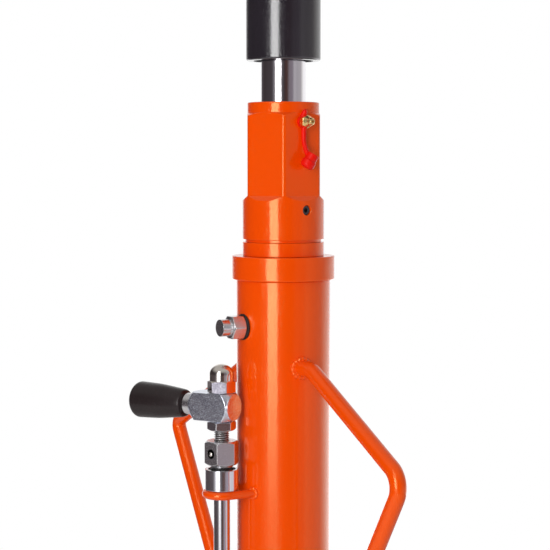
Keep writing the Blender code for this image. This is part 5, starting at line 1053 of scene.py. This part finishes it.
# %% Coupling and its pin
COUPLING_APOTHEM, COUPLING_NECK, STUD_BORE = 0.0123, 0.00825, 0.0063
blank = rounded([
    (STUD_BORE, coupling_top), (0.0117, coupling_top), (0.0142, coupling_top - 0.00175),
    (0.0142, coupling_foot + 0.00175), (0.0117, coupling_foot), (0.0095, coupling_foot),
    (COUPLING_NECK, bush_high), (COUPLING_NECK, bush_high - 0.0036), (0.0068, bush_high - 0.0036),
    (0.0068, coupling_foot + GAP), (STUD_BORE, coupling_foot + GAP), (STUD_BORE, coupling_top)], 0.0003)
coupling_grid = turned(refined(blank, 0.0004), 216, 6, COUPLING_APOTHEM, COUPLING_FLAT, crisp=150.0)
coupling = solid("hexagon_coupling", coupling_grid + at_rod)
pin_way, pin_middle = level(COUPLING_FLAT), at_rod + Z * (coupling_foot + coupling_top) / 2
HOLE_RADIUS = 0.0039
pin_hole = turned([(0, -0.02), (HOLE_RADIUS, -0.02), (HOLE_RADIUS, 0.02), (0, 0.02)], 48)
drilled(coupling, aimed(pin_hole, pin_middle, pin_way))
dress(coupling, zinc_satin, "release_control", "rod_coupling")
PIN_RADIUS, PIN_REACH = 0.0021, 0.0121
pin_middle = pin_middle - 0.0014 * np.cross(Z, pin_way) - 0.0006 * Z
slope = np.linspace(0, math.pi / 2, 12)
pin_end = np.column_stack([PIN_RADIUS * np.sin(slope), PIN_REACH - 0.0016 + 0.0016 * np.cos(slope)])
pin_profile = np.vstack([pin_end, pin_end[::-1] * [1, -1]])
dress(solid("bright_pin", aimed(turned(pin_profile, 48), pin_middle, pin_way)), bright_nut, "release_control",
      "coupling_cross_pin")

# %% Lock nut and domed nut
NUT_APOTHEM, NUT_CORNER = 0.01015, 0.01172
LOCK_HEIGHT, LOCK_FACE, LOCK_CONE = 0.0075, 0.00964, 0.0012
lathe("thin_lock_nut", zinc_turned, "release_control", "lever_lock_nut", looped([
    (STUD_BORE, LOCK_HEIGHT), (LOCK_FACE, LOCK_HEIGHT), (NUT_CORNER, LOCK_HEIGHT - LOCK_CONE),
    (NUT_CORNER, LOCK_CONE), (LOCK_FACE, 0), (STUD_BORE, 0)]), 0.0002, 2, 192, at_rod + Z * lock_foot,
    longest=0.0003, flats=6, apothem=NUT_APOTHEM, first_flat=math.radians(-22.0))
nut_foot, nut_top = low("lever_cap_nut"), high("lever_cap_nut")
nut_hex_top = nut_foot + 0.0095
DOME, DOME_RISE = 0.0097, 0.0082
slope = np.linspace(0, math.pi / 2, 20)
dome = np.column_stack([DOME * np.sin(slope), nut_top - DOME_RISE * (1 - np.cos(slope))])
nut_side = rounded([
    (DOME, nut_top - DOME_RISE - 0.0005), (DOME, nut_hex_top), (NUT_CORNER, nut_hex_top - 0.0010),
    (NUT_CORNER, nut_foot + 0.0006), (0.0102, nut_foot), (STUD_BORE, nut_foot),
    (STUD_BORE, nut_hex_top + GAP), (0, nut_hex_top + GAP)], 0.0003)
nut_grid = turned(refined(np.vstack([dome, nut_side]), 0.0004), 216, 6, NUT_APOTHEM, NUT_FLAT)
dress(solid("domed_nut", nut_grid + at_rod), bright_nut, "release_control", "lever_cap_nut")

# %% [markdown]
# ### Lever block and knob
#
# The block is square bar with both ends turned to a cone, so it is the nut's formula again
# with four flats. The knob is moulded, with a soft shoulder and a slight belly.

# %% Block, ferrule, knob
lever_middle = at_rod + Z * (low("lever_block") + high("lever_block")) / 2
BLOCK_APOTHEM, BLOCK_CORNER = 0.0111, 0.0157
BLOCK_IN, BLOCK_OUT, SPIGOT, SPIGOT_LENGTH = -0.0122, 0.0257, 0.0107, 0.0012
CONE = BLOCK_CORNER - SPIGOT
block_profile = rounded([
    (0, BLOCK_OUT), (SPIGOT, BLOCK_OUT), (SPIGOT, BLOCK_OUT - SPIGOT_LENGTH),
    (BLOCK_CORNER, BLOCK_OUT - SPIGOT_LENGTH - CONE), (BLOCK_CORNER, BLOCK_IN + SPIGOT_LENGTH + CONE),
    (SPIGOT, BLOCK_IN + SPIGOT_LENGTH), (SPIGOT, BLOCK_IN), (0, BLOCK_IN)], 0.0004)
block_grid = turned(refined(block_profile, 0.0003), 240, 4, BLOCK_APOTHEM, 0.0, crisp=130.0)
lever_body = solid("square_lever_block", aimed(block_grid, lever_middle, LEVER_AXIS))
stud_hole = turned([(0, -0.03), (STUD_BORE, -0.03), (STUD_BORE, 0.03), (0, 0.03)], 48)
drilled(lever_body, stud_hole + lever_middle)
dress(lever_body, zinc_block, "release_control", "lever_block")
FERRULE, FERRULE_LENGTH = 0.0086, 0.007
ferrule_start = BLOCK_OUT + GAP
lathe("plain_ferrule", zinc_satin, "release_control", "knob_ferrule", [
    (0, FERRULE_LENGTH), (FERRULE, FERRULE_LENGTH), (FERRULE, 0), (0, 0)],
    0.0005, at=lever_middle + LEVER_AXIS * ferrule_start, way=LEVER_AXIS)
knob_start = ferrule_start + FERRULE_LENGTH + GAP
knob_end = knob_start + 0.0520
slope = np.linspace(0, math.pi / 2, 16)
knob_tip = np.column_stack([0.01475 * np.sin(slope) ** 0.8, knob_end - 0.0075 * (1 - np.cos(slope))])
knob_side = rounded([
    (0.01475, knob_end - 0.0085), (0.0141, (knob_start + knob_end) / 2), (0.0118, knob_start + 0.006),
    (0.0110, knob_start + 0.0014), (0.0075, knob_start), (0, knob_start)], 0.006, 8)
knob_profile = refined(np.vstack([knob_tip, knob_side]), 0.0015)
dress(solid("moulded_knob", aimed(turned(knob_profile, 112), lever_middle, LEVER_AXIS)), knob_plastic,
      "release_control", "lever_knob")

# %% Release valve spindle
valve_low, valve_high = low("release_valve_spindle"), high("release_valve_spindle")
block_top = valve_low + 0.0297
lathe("valve_spindle", zinc_turned, "release_control", "release_valve_spindle", [
    (0, valve_high), (0.012, valve_high), (0.012, block_top + GAP), (0.0077, block_top + GAP),
    (0.0077, valve_low + 0.004), (0.0008, valve_low), (0, valve_low)], 0.0008, sides=64, at=at_rod)

# %% [markdown]
# ## The base
#
# Block, legs and forks are flat-sided, so their solids are right as they are. What they lack is
# a radius on their edges: a merged copy of each gets a Bevel modifier, and stands for it.

# %% Block, legs, pedal
dress(cad_copy("base_block", "hydraulic_block", 0.0012), orange_paint, "column", "base_block")
for number, corner in enumerate(("front_right", "back_right", "back_left", "front_left"), 1):
    dress(cad_copy(f"leg_{number}", f"leg_{corner}", 0.0009), orange_paint, "column", f"leg_{number}")
dress(cad_copy("pedal_lever", "pedal_arm", 0.0008), black_paint, "pedal", "pedal_lever")
dress(cad_copy("pedal_pad", "ribbed_pad", 0.0008), black_rubber, "pedal", "pedal_pad")

# %% [markdown]
# ## The foot pump
#
# The barrel screws into the block and the plunger slides in it. The spring between them is a
# helix with its end turns closed, and it gets shorter as the pedal goes down.

# %% Barrel, plunger, roller and pin
PUMP_Y = -0.137
barrel_low, barrel_high = low("pump_barrel"), high("pump_barrel")
barrel_seat, at_pump = block_top + GAP, Y * PUMP_Y
lathe("hexagon_barrel", zinc_turned, "column", "pump_barrel", looped([
    (0.0073, barrel_high), (0.01325, barrel_high), (0.01325, barrel_seat + 0.012),
    (0.0152, barrel_seat + 0.012), (0.01848, barrel_seat + 0.0101), (0.01848, barrel_seat),
    (0.012, barrel_seat), (0.012, barrel_low), (0.0073, barrel_low)]),
    0.0004, 3, 168, at_pump, longest=0.0006, flats=6, apothem=0.016)
plunger_top = high("pump_plunger")
plunger_foot = low("pump_plunger") - plunger_top
lathe("bright_plunger", hard_chrome, "plunger", "pump_plunger", [
    (0, 0), (0.0125, 0), (0.0125, -0.005), (0.007, -0.005), (0.007, plunger_foot), (0, plunger_foot)],
    0.0009, at=at_pump + Z * plunger_top)

SPRING_WIRE, SPRING_RADIUS, SPRING_TURNS = 0.0012, 0.0106, 5
spring_low, spring_high = low("pump_return_spring") + SPRING_WIRE, high("pump_return_spring") - SPRING_WIRE
turns = np.linspace(0, SPRING_TURNS, 60 * SPRING_TURNS + 1)
climb = np.clip((turns - 0.75) / (SPRING_TURNS - 1.5), 0, 1)
climb = climb * climb * (3 - 2 * climb) * 0.25 + climb * 0.75
coil = np.column_stack([SPRING_RADIUS * np.cos(TAU * turns), PUMP_Y + SPRING_RADIUS * np.sin(TAU * turns),
                        spring_low + (spring_high - spring_low) * climb])
closed_foot = np.minimum(turns, 1) * (climb == 0)
closed_top = np.minimum(SPRING_TURNS - turns, 1) * (climb == 1)
coil[:, 2] += SPRING_WIRE * 1.2 * (closed_foot - closed_top)
spring = solid("coil_spring", swept(coil, SPRING_WIRE, 14, Z))
dress(spring, zinc_turned, "column", "pump_return_spring")
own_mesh(spring)

pedal_joint = next(joint for joint in frame["joints"] if joint["name"] == "pedal_press")
pedal_pin = np.array(pedal_joint["pos_m"])
pin_low, pin_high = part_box("pedal_pivot_pin")
pin_half = (pin_high.x - pin_low.x) / 2
lathe("pivot_pin", zinc_plate, "column", "pedal_pivot_pin", [
    (0, pin_half), (0.0075, pin_half), (0.0075, pin_half - 0.003), (0.005, pin_half - 0.003),
    (0.005, 0.003 - pin_half), (0.0075, 0.003 - pin_half), (0.0075, -pin_half), (0, -pin_half)],
    0.0005, sides=64, at=pedal_pin, way=X)
roller_low, roller_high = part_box("pedal_roller")
roller_middle = np.array((roller_low + roller_high) / 2)
roller_half = (roller_high.x - roller_low.x) / 2
lathe("steel_roller", zinc_plate, "pedal", "pedal_roller", [
    (0, roller_half), (0.003, roller_half), (0.003, 0.0112), (0.009, 0.0112), (0.009, -0.0112),
    (0.003, -0.0112), (0.003, -roller_half), (0, -roller_half)], 0.0005, sides=72, at=roller_middle, way=X)

for side, name in ((1, "right"), (-1, "left")):
    plug_low, plug_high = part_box(f"check_valve_plug_{name}")
    middle = np.array((plug_low + plug_high) / 2)
    half = (plug_high.x - plug_low.x) / 2
    lathe(f"hexagon_plug_{name}", zinc_turned, "column", f"check_valve_plug_{name}",
          [(0, half), (0.0066, half), (0.00808, half - 0.0009), (0.00808, -half), (0, -half)],
          0.0003, 3, 144, middle, side * X, 0.0004, flats=6, apothem=0.0070, first_flat=math.radians(30))

# %% [markdown]
# ## Castors
#
# Four alike, each at the end of a leg. The wheels are moulded nylon with a crowned tread and a
# dished side, the forks are pressed steel. Wheel and axle bolt are turned about the axle, so
# their profiles are drawn once.

# %% Four castors
WHEEL_HALF, WHEEL_WEB, WHEEL_RADIUS, WHEEL_RIM, CROWN = 0.014, 0.005, 0.040, 0.030, 0.0028
WHEEL_HUB, HUB_HALF = 0.011, WHEEL_HALF + 0.0027
AXLE_HEAD = 0.0233
tread = np.linspace(-1, 1, 13)
crown = np.column_stack([WHEEL_RADIUS - CROWN * tread ** 4, -WHEEL_HALF * tread])
wheel_side = rounded([(WHEEL_HUB, HUB_HALF), (WHEEL_HUB, WHEEL_WEB), (WHEEL_RIM, WHEEL_WEB),
                      (WHEEL_RIM, WHEEL_HALF), (WHEEL_RADIUS - CROWN, WHEEL_HALF)], 0.0012, 4)
wheel_profile = np.vstack([wheel_side, crown, wheel_side[::-1] * [1, -1],
                           [(0.0053, -HUB_HALF), (0.0053, HUB_HALF), (WHEEL_HUB, HUB_HALF)]])
bolt_side = [(0, AXLE_HEAD + 0.003), (0.0075, AXLE_HEAD + 0.003), (0.00924, AXLE_HEAD + 0.002),
             (0.00924, AXLE_HEAD - 0.0027), (0.005, AXLE_HEAD - 0.0027)]
bolt_side += [(radius, -along) for radius, along in bolt_side[::-1]]
for number in range(1, 5):
    fork = f"castor_{number}"
    spin = next(joint for joint in frame["joints"] if joint["name"] == f"wheel_{number}_spin")
    hub, axle_way = np.array(spin["pos_m"], float), unit(np.array(spin["axis"], float))
    wheel = solid(f"moulded_wheel_{number}", aimed(turned(wheel_profile, 96), hub, axle_way))
    dress(wheel, grey_nylon, f"wheel_{number}", f"{fork}_wheel")
    lathe(f"axle_bolt_{number}", zinc_plate, fork, f"{fork}_axle", bolt_side,
          0.0003, 3, 144, hub, axle_way, 0.0008, flats=6, apothem=0.008)
    dress(cad_copy(f"{fork}_fork", f"pressed_fork_{number}", 0.0006), zinc_plate, fork, f"{fork}_fork")
    bolt_low, bolt_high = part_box(f"{fork}_bolt")
    foot = bolt_low.z - bolt_high.z
    bolt_top = ((bolt_low.x + bolt_high.x) / 2, (bolt_low.y + bolt_high.y) / 2, bolt_high.z)
    lathe(f"king_bolt_{number}", zinc_plate, "column", f"{fork}_bolt", [
        (0, 0), (0.0088, 0), (0.01097, -0.0012), (0.01097, -0.0097), (0.006, -0.0097), (0.006, foot + 0.004),
        (0.009, foot + 0.004), (0.009, foot), (0, foot)],
        0.0004, 3, 144, bolt_top, longest=0.0008, flats=6, apothem=0.0095, first_flat=0.3)

# %% [markdown]
# ## What stays as it came
#
# The piston and its seal are inside the cylinder. Their solids stay, with the right finish.

# %% Hidden pieces
for node, material in (("piston_head", zinc_turned), ("piston_seal", black_rubber)):
    mesh = frame["nodes"][node].data
    mesh.materials.clear()
    mesh.materials.append(material)

# %% [markdown]
# ## The view transform
#
# The picture is made with Blender's Standard view, so a colour comes out about as it is
# written. The dressed one must not grow.

# %% View transform
bpy.context.scene.view_settings.view_transform = "Standard"
